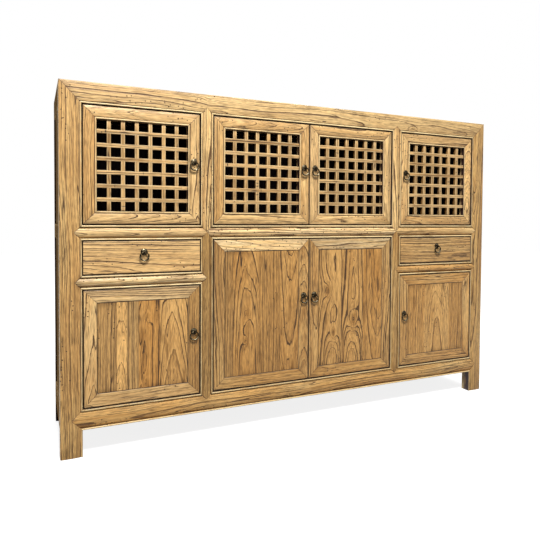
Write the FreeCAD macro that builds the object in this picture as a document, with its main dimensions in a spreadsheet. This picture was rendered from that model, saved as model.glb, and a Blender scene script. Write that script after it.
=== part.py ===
# A free-standing book cabinet in reclaimed elm: four lattice doors above, two
# drawers and four panelled doors below, with round ring pulls in aged bronze.
# +Z is up, X runs along the width and the doors face -Y.  The origin is the
# middle of the cabinet's footprint on the floor, ring pulls included.
# All sizes are in millimetres.

import FreeCAD, Part
import os
import re
import Sketcher

document = FreeCAD.newDocument("BookCabinet")

# Driving sizes: name, value, what it measures
driving_sizes = [
    ("overall_width", 1600, "outer face of one end post to the other"),
    ("overall_depth", 350, "front of the frame to the rear posts"),
    ("overall_height", 1082, "floor to top surface"),
    ("post_width", 61, "width of an end post seen from the front"),
    ("frame_depth", 38, "front to back depth of every front frame member"),
    ("rear_frame_depth", 30, "front to back depth of rear posts and rails"),
    ("side_rail_thickness", 30, "thickness of the rails at the two ends"),
    ("mullion_width", 40, "width of the two uprights inside the front frame"),
    ("bay_width", 352, "clear width of each side bay"),
    ("leg_height", 78, "floor to underside of the bottom rails"),
    ("bottom_rail_height", 60, "height of the bottom rails"),
    ("low_opening", 348, "clear height of a lower side door opening"),
    ("drawer_rail_height", 40, "height of the rail under each drawer"),
    ("drawer_opening", 102, "clear height of a drawer opening"),
    ("mid_rail_height", 44, "height of the rails under the lattice doors"),
    ("top_rail_height", 62, "height of the top rails"),
    ("post_crown", 1.6, "rise of the rounded face of an end post or the top rail"),
    ("rail_crown", 3.6, "rise of the rounded face of the other frame members"),
    ("door_crown", 2, "rise of the rounded face of a lattice door's frame"),
    ("bead_width", 5, "width of the bead along each opening"),
    ("bead_rise", 1.8, "rise of that bead"),
    ("quirk_width", 1.6, "width of the groove beside the bead"),
    ("quirk_depth", 4.4, "depth of that groove behind the face"),
    ("round_edge", 2.5, "radius along outer edges"),
    ("door_gap", 3, "gap all round each door and drawer front"),
    ("door_setback", 1.5, "door faces behind the front of the frame"),
    ("door_thickness", 22, "thickness of a door frame"),
    ("stile_width", 38, "width of the mitred door frame members"),
    ("lattice_bar_width", 11.5, "face width of a lattice bar"),
    ("lattice_bar_depth", 12, "front to back depth of a lattice bar"),
    ("lattice_setback", 5, "lattice behind the door face"),
    ("panel_setback", 0.6, "panel field behind the door face"),
    ("panel_joint", 0.9, "open joint round the panel field"),
    ("tongue_start", 8, "depth at which the panel tongue begins"),
    ("tongue_thickness", 6, "thickness of a panel tongue"),
    ("tongue_reach", 7, "how far a tongue enters its groove"),
    ("tongue_play", 0.3, "space left beyond a tongue in its groove"),
    ("batten_height", 30, "height of a cross batten behind a panel"),
    ("batten_depth", 7, "depth of a cross batten"),
    ("batten_inset", 60, "batten from the end of its panel"),
    ("pivot_inset", 9, "pivot axis from the hinge edge of the door"),
    ("pivot_depth", 7, "pivot axis behind the door face"),
    ("pivot_radius", 3, "radius of a pivot pin"),
    ("pivot_play", 0.05, "radial clearance of the pin in the door"),
    ("pivot_seat", 14, "length of a pin held in its rail"),
    ("pivot_reach", 12, "length of a pin inside the door"),
    ("end_play", 0.3, "small running gap at an end or under a drawer"),
    ("plate_radius", 10.5, "radius of the round backplate of a pull"),
    ("plate_rise", 3, "rise of the domed backplate"),
    ("plate_rim", 0.8, "thickness of the backplate at its edge"),
    ("ring_radius", 13, "radius of a ring to the middle of its wire"),
    ("ring_wire", 2.1, "radius of the ring's wire"),
    ("ring_play", 0.3, "clearance of the ring's wire in its eye"),
    ("eye_wire", 1.4, "radius of the wire of the eye"),
    ("eye_stand_off", 7, "centre of the eye in front of the door face"),
    ("shank_radius", 1.4, "radius of the shank through the wood"),
    ("shank_play", 0.1, "clearance of the shank in its hole"),
    ("leg_length", 8, "length of each clenched leg behind the wood"),
    ("upper_pull_share", 0.565, "height of an upper pull, share of its door"),
    ("low_pull_share", 0.578, "height of a lower side pull, share of its door"),
    ("tall_pull_share", 0.6, "height of a lower centre pull, share of its door"),
    ("drawer_pull_share", 0.65, "height of a drawer pull, share of its front"),
    ("drawer_front_thickness", 20, "thickness of a drawer front"),
    ("drawer_rear_space", 26.5, "space between a drawer box and the back boards"),
    ("drawer_side_height", 82, "height of the drawer sides"),
    ("drawer_side_thickness", 11, "thickness of drawer sides and back"),
    ("drawer_inset", 6, "drawer side inside the end of its front"),
    ("drawer_bottom_lift", 6, "underside of the drawer bottom above its sides"),
    ("drawer_bottom_thickness", 7, "thickness of the drawer bottom"),
    ("drawer_groove", 4, "depth of the groove that holds the drawer bottom"),
    ("runner_height", 18, "height of a drawer runner"),
    ("runner_ledge", 12, "runner under the drawer side, past its outer face"),
    ("guide_height", 24, "height of the guide strip on a runner"),
    ("guide_play", 0.8, "gap between a guide and the drawer side"),
    ("board_thickness", 15, "thickness of shelf and floor boards"),
    ("partition_thickness", 16, "thickness of the inner partitions"),
    ("end_panel_thickness", 12, "thickness of the end panels"),
    ("end_panel_setback", 4, "end panels behind the outer face of the posts"),
    ("back_board_thickness", 10, "thickness of the back boards"),
    ("back_board_setback", 12, "back boards in front of the rear face"),
    ("top_panel_thickness", 15, "thickness of the top panel"),
    ("bearer_width", 45, "width of a bearer under the floor boards"),
    ("bearer_height", 30, "height of a bearer under the floor boards"),
    ("overrun", 1, "how far a cutting shape passes the wood it cuts"),
]
lattice_bar_count = 6
back_board_count = 8
floor_board_count = 3
top_board_count = 3

sizes = document.addObject("Spreadsheet::Sheet", "Sizes")
owner = {}
for row, (alias, value, note) in enumerate(driving_sizes, start=1):
    sizes.set(f"A{row}", alias)
    sizes.set(f"B{row}", str(value))
    sizes.setAlias(f"B{row}", alias)
    sizes.set(f"C{row}", note)
    owner[alias] = "Sizes"
document.recompute()

# Places worked out from the driving sizes
places = document.addObject("App::VarSet", "Places")


def bound(text):
    """The expression with each size and place written with the sheet that owns it."""
    return re.sub(r"[a-z_]+", lambda word: f"{owner[word.group()]}.{word.group()}", text)


def value_of(text):
    """The present value of an expression."""
    return float(places.evalExpression(bound(text)))


def bind(item, target, text):
    """Bind one property of an object to an expression."""
    item.setExpression(target, bound(text))


worked_out = [
    ("eye_hole", "ring_wire + ring_play"),
    ("eye_radius", "eye_hole + eye_wire"),
    ("pull_reach", "eye_stand_off + eye_radius + eye_wire"),
    ("front", "(pull_reach - door_setback - overall_depth) / 2"),
    ("rear", "front + overall_depth"),
    ("door_face", "front + door_setback"),
    ("inside_front", "front + frame_depth"),
    ("inside_rear", "rear - rear_frame_depth"),
    ("end_face", "overall_width / 2"),
    ("end_inside", "end_face - side_rail_thickness"),
    ("bay_low", "post_width - end_face"),
    ("bay_high", "bay_low + bay_width"),
    ("centre_low", "bay_high + mullion_width"),
    ("mullion_middle", "bay_high + mullion_width / 2"),
    ("low_start", "leg_height + bottom_rail_height"),
    ("low_end", "low_start + low_opening"),
    ("drawer_start", "low_end + drawer_rail_height"),
    ("drawer_end", "drawer_start + drawer_opening"),
    ("upper_start", "drawer_end + mid_rail_height"),
    ("upper_end", "overall_height - top_rail_height"),
    ("side_door_width", "bay_width - 2 * door_gap"),
    ("centre_door_width", "-centre_low - 1.5 * door_gap"),
    ("upper_door_height", "upper_end - upper_start - 2 * door_gap"),
    ("low_door_height", "low_opening - 2 * door_gap"),
    ("tall_door_height", "drawer_end - low_start - 2 * door_gap"),
    ("drawer_front_height", "drawer_opening - 2 * door_gap"),
    ("bead_round", "(bead_width ^ 2 / 4 + bead_rise ^ 2) / (2 * bead_rise)"),
    ("top_underside", "overall_height - top_panel_thickness"),
    ("shelf_underside", "upper_start - board_thickness"),
    ("partition_low", "mullion_middle - partition_thickness / 2"),
    ("partition_high", "mullion_middle + partition_thickness / 2"),
    ("runner_top", "drawer_start + door_gap - end_play"),
    ("back_board_front", "rear - back_board_setback - back_board_thickness"),
    ("drawer_length", "back_board_front - drawer_rear_space - door_face"),
]
for name, formula in worked_out:
    places.addProperty("App::PropertyFloat", name, "Places")
    places.setExpression(name, bound(formula))
    owner[name] = "Places"
document.recompute()

subparts = []
x_axis = FreeCAD.Vector(1, 0, 0)
y_axis = FreeCAD.Vector(0, 1, 0)
z_axis = FreeCAD.Vector(0, 0, 1)
flat_plane = FreeCAD.Rotation()
front_plane = FreeCAD.Rotation(x_axis, 90)
end_plane = FreeCAD.Rotation(FreeCAD.Vector(1, 1, 1), 120)


def mirrored(text):
    """The same distance on the other side of the middle."""
    return f"-({text})"


def on_side(side, low, high):
    """A range of X given for the left half, on the named side of the cabinet."""
    return (low, high) if side == "left" else (mirrored(high), mirrored(low))


def arc_centre(first, last, known, value):
    """Centre of an arc through two points, from one of the centre's coordinates."""
    (x_first, y_first), (x_last, y_last) = first, last
    squares = x_last ** 2 - x_first ** 2 + y_last ** 2 - y_first ** 2
    if known == "x":
        return value, (squares - 2 * value * (x_last - x_first)) / (2 * (y_last - y_first))
    return (squares - 2 * value * (y_last - y_first)) / (2 * (x_last - x_first)), value


def drawing(name, corners, arcs, plane):
    """A closed sketch through the corners, each held by two bound distances.

    arcs gives the sides that are round: the side's number, then which
    coordinate of its centre is bound ("x" or "y") and to what.
    """
    points = [(value_of(across), value_of(up)) for across, up in corners]
    shapes, begins, ends = [], [], []
    for side, (first, last) in enumerate(zip(points, points[1:] + points[:1])):
        if side not in arcs:
            shapes.append(Part.LineSegment(FreeCAD.Vector(*first, 0), FreeCAD.Vector(*last, 0)))
            begins.append(1)
            ends.append(2)
            continue
        known, text = arcs[side]
        centre = FreeCAD.Vector(*arc_centre(first, last, known, value_of(text)), 0)
        one = FreeCAD.Vector(*first, 0) - centre
        two = FreeCAD.Vector(*last, 0) - centre
        forward = one.cross(two).z > 0
        start, stop = (one, two) if forward else (two, one)
        circle = Part.Circle(centre, z_axis, one.Length)
        turn = x_axis.getAngle(start) if start.y >= 0 else -x_axis.getAngle(start)
        shapes.append(Part.ArcOfCircle(circle, turn, turn + start.getAngle(stop)))
        begins.append(1 if forward else 2)
        ends.append(2 if forward else 1)
    sketch = document.addObject("Sketcher::SketchObject", name)
    sketch.addGeometry(shapes, False)
    rules, bindings = [], {}

    def held(kind, side, end, text, value, label):
        """Hold one coordinate of a point, under a name of its own."""
        rule = Sketcher.Constraint(kind, -1, 1, side, end, value)
        rule.Name = label
        rules.append(rule)
        if text != "0":
            bindings[label] = text

    for side, ((across, up), (x, y)) in enumerate(zip(corners, points)):
        held("DistanceX", side, begins[side], across, x, f"across_{side}")
        held("DistanceY", side, begins[side], up, y, f"up_{side}")
        after = (side + 1) % len(corners)
        rules.append(Sketcher.Constraint("Coincident", side, ends[side], after, begins[after]))
    for side, (known, text) in arcs.items():
        kind = "DistanceX" if known == "x" else "DistanceY"
        held(kind, side, 3, text, value_of(text), f"centre_{side}")
    sketch.addConstraint(rules)
    for label, text in bindings.items():
        bind(sketch, f"Constraints.{label}", text)
    sketch.Placement = FreeCAD.Placement(FreeCAD.Vector(), plane)
    return sketch


def prism(name, sketch, direction, length):
    """A sketch carried straight along a direction."""
    solid = document.addObject("Part::Extrusion", name)
    solid.Base = sketch
    solid.DirMode = "Custom"
    solid.Dir = direction
    solid.Solid = True
    bind(solid, "LengthFwd", length)
    return solid


def set_at(item, x="0", y="0", z="0"):
    """Bind the place of an object."""
    for axis, text in (("x", x), ("y", y), ("z", z)):
        if text != "0":
            bind(item, f".Placement.Base.{axis}", text)
    return item


def block(name, x_range, y_range, z_range):
    """A squared board between three pairs of places."""
    board = document.addObject("Part::Box", name)
    for target, (low, high) in (("Length", x_range), ("Width", y_range), ("Height", z_range)):
        bind(board, target, f"({high}) - ({low})")
    return set_at(board, x_range[0], y_range[0], z_range[0])


def rod(name, radius, length, x="0", y="0", z="0", turn=None):
    """A round pin, upright unless it is turned."""
    pin = document.addObject("Part::Cylinder", name)
    bind(pin, "Radius", radius)
    bind(pin, "Height", length)
    if turn:
        pin.Placement = FreeCAD.Placement(FreeCAD.Vector(), turn)
    return set_at(pin, x, y, z)


def group(name, parts):
    """Several solids kept apart in one object."""
    bundle = document.addObject("Part::Compound", name)
    bundle.Links = parts
    return bundle


def joined(name, parts):
    """Several solids made one."""
    union = document.addObject("Part::MultiFuse", name)
    union.Shapes = parts
    return union


def common(name, first, second):
    """What two solids share."""
    shared = document.addObject("Part::Common", name)
    shared.Base = first
    shared.Tool = second
    return shared


def cut(name, wood, tools):
    """Wood with grooves or bores cut by one or more tools."""
    result = document.addObject("Part::Cut", name)
    result.Base = wood
    result.Tool = tools[0] if len(tools) == 1 else group(f"{name}_cutters", tools)
    return result


def node(label, parts, x="0", y="0", z="0"):
    """A named sub-part of the cabinet, at its place."""
    moved = (x, y, z) != ("0", "0", "0")
    piece = group(label, parts) if moved or len(parts) > 1 else parts[0]
    set_at(piece, x, y, z)
    piece.Label = label
    subparts.append(piece)
    return piece


def face_section(span, low_edge, high_edge, depth, rise):
    """Cross-section of a moulded member: (across, deep) corners and round sides.

    The face is crowned by rise, or flat where rise is "0".  An edge is "bead",
    a small bead with a groove beside it, or "round", a plain rounded edge.
    """
    shoulder = {"bead": "bead_width + quirk_width", "round": "round_edge"}
    corners, arcs = [], {}
    if low_edge == "bead":
        corners.append(("0", "bead_rise"))
        arcs[0] = ("deep", "bead_round")
        corners.append(("bead_width", "bead_rise"))
        corners.append(("bead_width", "quirk_depth"))
        corners.append((shoulder["bead"], "quirk_depth"))
    else:
        corners.append(("0", f"{rise} + round_edge"))
        arcs[0] = ("across", "round_edge")
    start = shoulder[low_edge]
    stop = f"{span} - ({shoulder[high_edge]})"
    if rise != "0":
        chord = f"({stop} - ({start}))"
        arcs[len(corners)] = ("deep", f"({chord} ^ 2 / 4 + {rise} ^ 2) / (2 * {rise})")
    corners.append((start, rise))
    corners.append((stop, rise))
    if high_edge == "bead":
        corners.append((stop, "quirk_depth"))
        corners.append((f"{span} - bead_width", "quirk_depth"))
        arcs[len(corners)] = ("deep", "bead_round")
        corners.append((f"{span} - bead_width", "bead_rise"))
        corners.append((span, "bead_rise"))
    else:
        arcs[len(corners) - 1] = ("across", f"{span} - round_edge")
        corners.append((span, f"{rise} + round_edge"))
    corners.append((span, depth))
    corners.append(("0", depth))
    return corners, arcs


def grooved(section, span):
    """The section with a groove for a panel tongue in its high edge."""
    corners, arcs = section
    floor = f"{span} - tongue_reach - tongue_play"
    cutting = [
        (span, "tongue_start"),
        (floor, "tongue_start"),
        (floor, "tongue_start + tongue_thickness"),
        (span, "tongue_start + tongue_thickness"),
    ]
    return corners[:-2] + cutting + corners[-2:], arcs


def member(name, upright, section, edge, inward, face, outline, start, length):
    """A moulded member: its section carried along it, trimmed to a front outline.

    edge is where the member begins, inward is "+" or "-" for the way it
    widens, face is the place of its front and outline its shape from the front.
    """
    corners, arcs = section

    def across(text):
        return f"{edge} {inward} ({text})"

    def deep(text):
        return f"{face} + ({text})"

    placed, turned = [], {}
    for one, two in corners:
        pair = (across(one), deep(two))
        placed.append(pair if upright else pair[::-1])
    for side, (kind, text) in arcs.items():
        if kind == "across":
            turned[side] = ("x" if upright else "y", across(text))
        else:
            turned[side] = ("y" if upright else "x", deep(text))
    plane = flat_plane if upright else end_plane
    profile = drawing(f"{name}_section", placed, turned, plane)
    bar = prism(f"{name}_bar", profile, z_axis if upright else x_axis, length)
    bind(bar, ".Placement.Base.z" if upright else ".Placement.Base.x", start)
    shape = drawing(f"{name}_outline", outline, {}, front_plane)
    set_at(shape, y=f"{face} - overrun")
    depth = corners[-1][1]
    trim = prism(f"{name}_trim", shape, y_axis, f"{depth} + 2 * overrun")
    return common(name, bar, trim)


# Pivot pins: every door turns on two pins that are driven into the rails
# above and below it.  Each site: door edge, its openings' bottom and top.
def pivot_x(hinge_edge, side):
    """X of a pivot axis from the edge of the opening that its door hangs on."""
    if side == "left":
        return f"{hinge_edge} + door_gap + pivot_inset"
    return f"{hinge_edge} - door_gap - pivot_inset"


pivot_sites = {
    "upper_left_door": (pivot_x("bay_low", "left"), "upper_start", "upper_end"),
    "upper_centre_left_door": (pivot_x("centre_low", "left"), "upper_start", "upper_end"),
    "upper_centre_right_door": (pivot_x("-centre_low", "right"), "upper_start", "upper_end"),
    "upper_right_door": (pivot_x("-bay_low", "right"), "upper_start", "upper_end"),
    "lower_left_door": (pivot_x("bay_low", "left"), "low_start", "low_end"),
    "lower_centre_left_door": (pivot_x("centre_low", "left"), "low_start", "drawer_end"),
    "lower_centre_right_door": (pivot_x("-centre_low", "right"), "low_start", "drawer_end"),
    "lower_right_door": (pivot_x("-bay_low", "right"), "low_start", "low_end"),
}
pin_length = "pivot_seat + door_gap + pivot_reach"
bottom_pins, top_pins = {}, {}
for door, (x, bottom, top) in pivot_sites.items():
    axis_y = "door_face + pivot_depth"
    bottom_pins[door] = rod(f"{door}_bottom_pin", "pivot_radius", pin_length,
                            x, axis_y, f"{bottom} - pivot_seat")
    top_pins[door] = rod(f"{door}_top_pin", "pivot_radius", pin_length,
                         x, axis_y, f"{top} - door_gap - pivot_reach")
upper_doors = [door for door in pivot_sites if door.startswith("upper")]
lower_doors = [door for door in pivot_sites if door.startswith("lower")]


# Front frame: posts, mullions and rails whose ends are mitred to a point
def notch(edge, way, low, high):
    """Three corners of a pointed notch or end on an upright edge."""
    middle = f"({low} + {high}) / 2"
    return [(edge, low), (f"{edge} {way} ({high} - {low}) / 2", middle), (edge, high)]


rail_levels = [("leg_height", "low_start"), ("low_end", "drawer_start"), ("drawer_end", "upper_start")]
post_edge = [("-end_face", "0"), ("bay_low", "0")]
for low, high in rail_levels:
    post_edge += notch("bay_low", "-", low, high)
post_edge += [("bay_low", "upper_end"), ("-end_face", "overall_height")]

end_groove_range = ("inside_front - tongue_reach", "inside_rear + tongue_reach")
end_low = "-end_face + end_panel_setback"
end_panels = {}
for side in ("left", "right"):
    x_range = on_side(side, end_low, f"{end_low} + end_panel_thickness")
    end_panels[side] = [
        block(f"{side}_{tier}_end_panel", x_range, end_groove_range,
              (f"{low} - tongue_reach", f"{high} + tongue_reach"))
        for tier, low, high in (("low", "low_start", "drawer_end"), ("upper", "upper_start", "upper_end"))
    ]

back_range = ("back_board_front", "rear - back_board_setback")
back_width = "(-2 * bay_low + 2 * tongue_reach)"
back_boards = []
for tier, low, high in (("low", "low_start", "drawer_end"), ("upper", "upper_start", "upper_end")):
    for number in range(back_board_count):
        x_range = [f"bay_low - tongue_reach + {back_width} * {step} / {back_board_count}"
                   for step in (number, number + 1)]
        back_boards.append(block(f"{tier}_back_board_{number + 1}", x_range, back_range,
                                 (f"{low} - tongue_reach", f"{high} + tongue_reach")))

for side in ("left", "right"):
    outline = post_edge if side == "left" else [(mirrored(x), z) for x, z in post_edge]
    edge, inward = ("-end_face", "+") if side == "left" else ("end_face", "-")
    section = face_section("post_width", "round", "bead", "frame_depth", "post_crown")
    post = member(f"{side}_post_wood", True, section, edge, inward, "front",
                  outline, "0", "overall_height")
    node(f"{side}_front_post", [cut(f"{side}_post_grooved", post, end_panels[side])])

top_fields = []
top_depth = "(inside_rear - inside_front)"
for number in range(top_board_count):
    near = "inside_front + panel_joint" if number == 0 else (
        f"inside_front + {top_depth} * {number} / {top_board_count}")
    far = "inside_rear - panel_joint" if number == top_board_count - 1 else (
        f"inside_front + {top_depth} * {number + 1} / {top_board_count}")
    tongue_near = "inside_front - tongue_reach" if number == 0 else near
    tongue_far = "inside_rear + tongue_reach" if number == top_board_count - 1 else far
    field = block(f"top_field_{number + 1}", ("panel_joint - end_inside", "end_inside - panel_joint"),
                  (near, far), ("top_underside", "overall_height"))
    tongue = block(f"top_tongue_{number + 1}",
                   ("-end_inside - tongue_reach", "end_inside + tongue_reach"),
                   (tongue_near, tongue_far), ("top_underside", "top_underside + tongue_thickness"))
    top_fields.append(joined(f"top_board_{number + 1}", [field, tongue]))

top_outline = [("-end_face", "overall_height"), ("bay_low", "upper_end")]
top_outline += [("bay_high", "upper_end"), ("mullion_middle", "upper_end + mullion_width / 2"),
                ("centre_low", "upper_end")]
top_outline += [(mirrored(x), z) for x, z in reversed(top_outline)]
section = face_section("top_rail_height", "bead", "round", "frame_depth", "post_crown")
top_rail = member("top_rail_wood", False, section, "upper_end", "+", "front",
                  top_outline, "-end_face", "overall_width")
top_rail_tools = [top_pins[door] for door in upper_doors] + top_fields
node("top_front_rail", [cut("top_rail_cut", top_rail, top_rail_tools)])

bottom_outline = notch("bay_low", "-", "leg_height", "low_start")
bottom_outline += [("bay_high", "low_start"), ("mullion_middle", "low_start - mullion_width / 2"),
                   ("centre_low", "low_start")]
bottom_outline += [(mirrored(x), z) for x, z in reversed(bottom_outline)]
section = face_section("bottom_rail_height", "bead", "bead", "frame_depth", "rail_crown")
bottom_rail = member("bottom_rail_wood", False, section, "leg_height", "+", "front",
                     bottom_outline, "-end_face", "overall_width")
node("bottom_front_rail", [cut("bottom_rail_cut", bottom_rail,
                               [bottom_pins[door] for door in lower_doors])])

crossing = ("mullion_middle", "(drawer_end + upper_start) / 2")
lower_mullion = [("mullion_middle", "low_start - mullion_width / 2"), ("bay_high", "low_start")]
lower_mullion += notch("bay_high", "+", "low_end", "drawer_start")
lower_mullion += [("bay_high", "drawer_end"), crossing, ("centre_low", "drawer_end"),
                  ("centre_low", "low_start")]
upper_mullion = [crossing, ("bay_high", "upper_start"), ("bay_high", "upper_end"),
                 ("mullion_middle", "upper_end + mullion_width / 2"),
                 ("centre_low", "upper_end"), ("centre_low", "upper_start")]
for side in ("left", "right"):
    pieces = []
    for tier, outline in (("lower", lower_mullion), ("upper", upper_mullion)):
        if side == "right":
            outline = [(mirrored(x), z) for x, z in outline]
        edge, inward = ("bay_high", "+") if side == "left" else ("-bay_high", "-")
        section = face_section("mullion_width", "bead", "bead", "frame_depth", "rail_crown")
        pieces.append(member(f"{side}_{tier}_mullion", True, section, edge, inward, "front",
                             outline, "0", "overall_height"))
    node(f"{side}_mullion", pieces)


def rail(name, low, high, outline, pins):
    """A short moulded rail between two uprights, bored for its pivot pins."""
    section = face_section(f"({high} - {low})", "bead", "bead", "frame_depth", "rail_crown")
    wood = member(f"{name}_wood", False, section, low, "+", "front",
                  outline, "-end_face", "overall_width")
    return cut(name, wood, pins)


left_mid = notch("bay_low", "-", "drawer_end", "upper_start")
left_mid += [("bay_high", "upper_start"), crossing, ("bay_high", "drawer_end")]
centre_mid = [crossing, ("centre_low", "upper_start"), ("-centre_low", "upper_start"),
              (mirrored(crossing[0]), crossing[1]), ("-centre_low", "drawer_end"),
              ("centre_low", "drawer_end")]
centre_pins = [bottom_pins["upper_centre_left_door"], bottom_pins["upper_centre_right_door"],
               top_pins["lower_centre_left_door"], top_pins["lower_centre_right_door"]]
node("mid_rails", [
    rail("left_mid_rail", "drawer_end", "upper_start", left_mid, [bottom_pins["upper_left_door"]]),
    rail("centre_mid_rail", "drawer_end", "upper_start", centre_mid, centre_pins),
    rail("right_mid_rail", "drawer_end", "upper_start", [(mirrored(x), z) for x, z in left_mid],
         [bottom_pins["upper_right_door"]]),
])
left_drawer_rail = notch("bay_low", "-", "low_end", "drawer_start")
left_drawer_rail += reversed(notch("bay_high", "+", "low_end", "drawer_start"))
node("drawer_rails", [
    rail("left_drawer_rail", "low_end", "drawer_start", left_drawer_rail,
         [top_pins["lower_left_door"]]),
    rail("right_drawer_rail", "low_end", "drawer_start",
         [(mirrored(x), z) for x, z in left_drawer_rail], [top_pins["lower_right_door"]]),
])
node("door_pivot_pins", list(bottom_pins.values()) + list(top_pins.values()))

# Carcass behind the front frame
rear_range = ("inside_rear", "rear")
inner_range = ("inside_front", "inside_rear")
rear_posts, end_rails, top_rails = [], [], []
for side in ("left", "right"):
    rail_width = on_side(side, "-end_face", "-end_inside")
    post = block(f"{side}_rear_post_wood", on_side(side, "-end_face", "bay_low"), rear_range,
                 ("0", "overall_height"))
    rear_posts.append(cut(f"{side}_rear_post", post, end_panels[side] + back_boards + top_fields))
    for tier, (low, high) in (("low", ("leg_height", "low_start")), ("mid", ("drawer_end", "upper_start"))):
        wood = block(f"{side}_{tier}_end_rail_wood", rail_width, inner_range, (low, high))
        end_rails.append(cut(f"{side}_{tier}_end_rail", wood, end_panels[side]))
    wood = block(f"{side}_top_end_rail_wood", rail_width, inner_range, ("upper_end", "overall_height"))
    top_rails.append(cut(f"{side}_top_end_rail", wood, end_panels[side] + top_fields))
node("rear_posts", rear_posts)
node("end_rails", end_rails)
wood = block("top_back_rail_wood", ("bay_low", "-bay_low"), rear_range, ("upper_end", "overall_height"))
top_rails.append(cut("top_back_rail", wood, back_boards + top_fields))
node("top_end_and_back_rails", top_rails)
back_rails = []
for tier, low, high in (("low", "leg_height", "low_start"), ("mid", "drawer_end", "upper_start")):
    wood = block(f"{tier}_back_rail_wood", ("bay_low", "-bay_low"), rear_range, (low, high))
    back_rails.append(cut(f"{tier}_back_rail", wood, back_boards))
node("back_rails", back_rails)
node("end_panels", end_panels["left"] + end_panels["right"])
node("back_boards", back_boards)
node("top_panel", top_fields)

floor_parts = []
for number in range(floor_board_count):
    y_range = [f"inside_front + {top_depth} * {step} / {floor_board_count}"
               for step in (number, number + 1)]
    floor_parts.append(block(f"floor_board_{number + 1}", ("-end_inside", "end_inside"), y_range,
                             ("low_start - board_thickness", "low_start")))
bearer_range = ("low_start - board_thickness - bearer_height", "low_start - board_thickness")
for side, middle in (("left", "mullion_middle"), ("right", "-mullion_middle")):
    x_range = (f"{middle} - bearer_width / 2", f"{middle} + bearer_width / 2")
    floor_parts.append(block(f"{side}_bearer", x_range, inner_range, bearer_range))
node("floor_boards", floor_parts)

partition_range = ("partition_low", "partition_high")
node("partitions", [
    block("left_partition", partition_range, inner_range, ("low_start", "top_underside")),
    block("right_partition", ("-partition_high", "-partition_low"), inner_range,
          ("low_start", "top_underside")),
])
shelf_range = ("shelf_underside", "upper_start")
node("shelves", [
    block("left_shelf", ("-end_inside", "partition_low"), inner_range, shelf_range),
    block("centre_shelf", ("partition_high", "-partition_high"), inner_range, shelf_range),
    block("right_shelf", ("-partition_low", "end_inside"), inner_range, shelf_range),
])

runners = []
box_low, box_high = "bay_low + door_gap + drawer_inset", "bay_high - door_gap - drawer_inset"
base_range = ("runner_top - runner_height", "runner_top")
guide_range = ("runner_top", "runner_top + guide_height")
for side in ("left", "right"):
    for place, near, ledge, guide in (
            ("end", "-end_inside", f"{box_low} + runner_ledge", f"{box_low} - guide_play"),
            ("partition", "partition_low", f"{box_high} - runner_ledge", f"{box_high} + guide_play")):
        parts = []
        for kind, edge, z_range in (("base", ledge, base_range), ("guide", guide, guide_range)):
            low, high = (near, edge) if place == "end" else (edge, near)
            x_range = on_side(side, low, high)
            parts.append(block(f"{side}_{place}_runner_{kind}", x_range, inner_range, z_range))
        runners.append(joined(f"{side}_{place}_runner", parts))
node("drawer_runners", runners)


# Ring pull: a domed backplate, an eye on a split shank that is clenched
# behind the wood, and a ring that hangs in the eye
def pull_and_ring(label, x, z, thickness):
    """The fixed backplate and eye of one pull, and its hanging ring."""
    dome_sketch = drawing(f"{label}_dome_section", [
        ("0", "0"), ("plate_radius", "0"), ("plate_radius", "-plate_rim"), ("0", "-plate_rise")],
        {2: ("x", "0")}, flat_plane)
    dome = document.addObject("Part::Revolution", f"{label}_dome")
    dome.Source = dome_sketch
    dome.Axis = y_axis
    dome.Angle = 360
    dome.Solid = True
    eye = document.addObject("Part::Torus", f"{label}_eye_loop")
    bind(eye, "Radius1", "eye_radius")
    bind(eye, "Radius2", "eye_wire")
    eye.Placement = FreeCAD.Placement(FreeCAD.Vector(), FreeCAD.Rotation(y_axis, 90))
    set_at(eye, y="-eye_stand_off")
    shank_start = "(eye_radius - eye_stand_off)"
    shank = rod(f"{label}_shank", "shank_radius", f"{thickness} + shank_radius - {shank_start}",
                y=shank_start, turn=FreeCAD.Rotation(x_axis, -90))
    legs = rod(f"{label}_legs", "shank_radius", "2 * leg_length",
               y=f"{thickness} + shank_radius", z="-leg_length")
    eye_pin = joined(f"{label}_eye_pin", [eye, shank, legs])
    plate = cut(f"{label}_plate", dome, [eye_pin])
    node(f"{label}_pull", [plate, eye_pin], x, "door_face", z)
    ring = document.addObject("Part::Torus", f"{label}_ring")
    bind(ring, "Radius1", "ring_radius")
    bind(ring, "Radius2", "ring_wire")
    ring.Placement = FreeCAD.Placement(FreeCAD.Vector(), front_plane)
    set_at(ring, x, "door_face - eye_stand_off", f"{z} - ring_radius")
    node(f"{label}_ring", [ring])


def pull_hole(name, x, z, thickness):
    """The bore through a stile or drawer front for the shank of its pull."""
    return rod(name, "shank_radius + shank_play", f"{thickness} + 2 * overrun",
               x, "-overrun", z, FreeCAD.Rotation(x_axis, -90))


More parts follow.
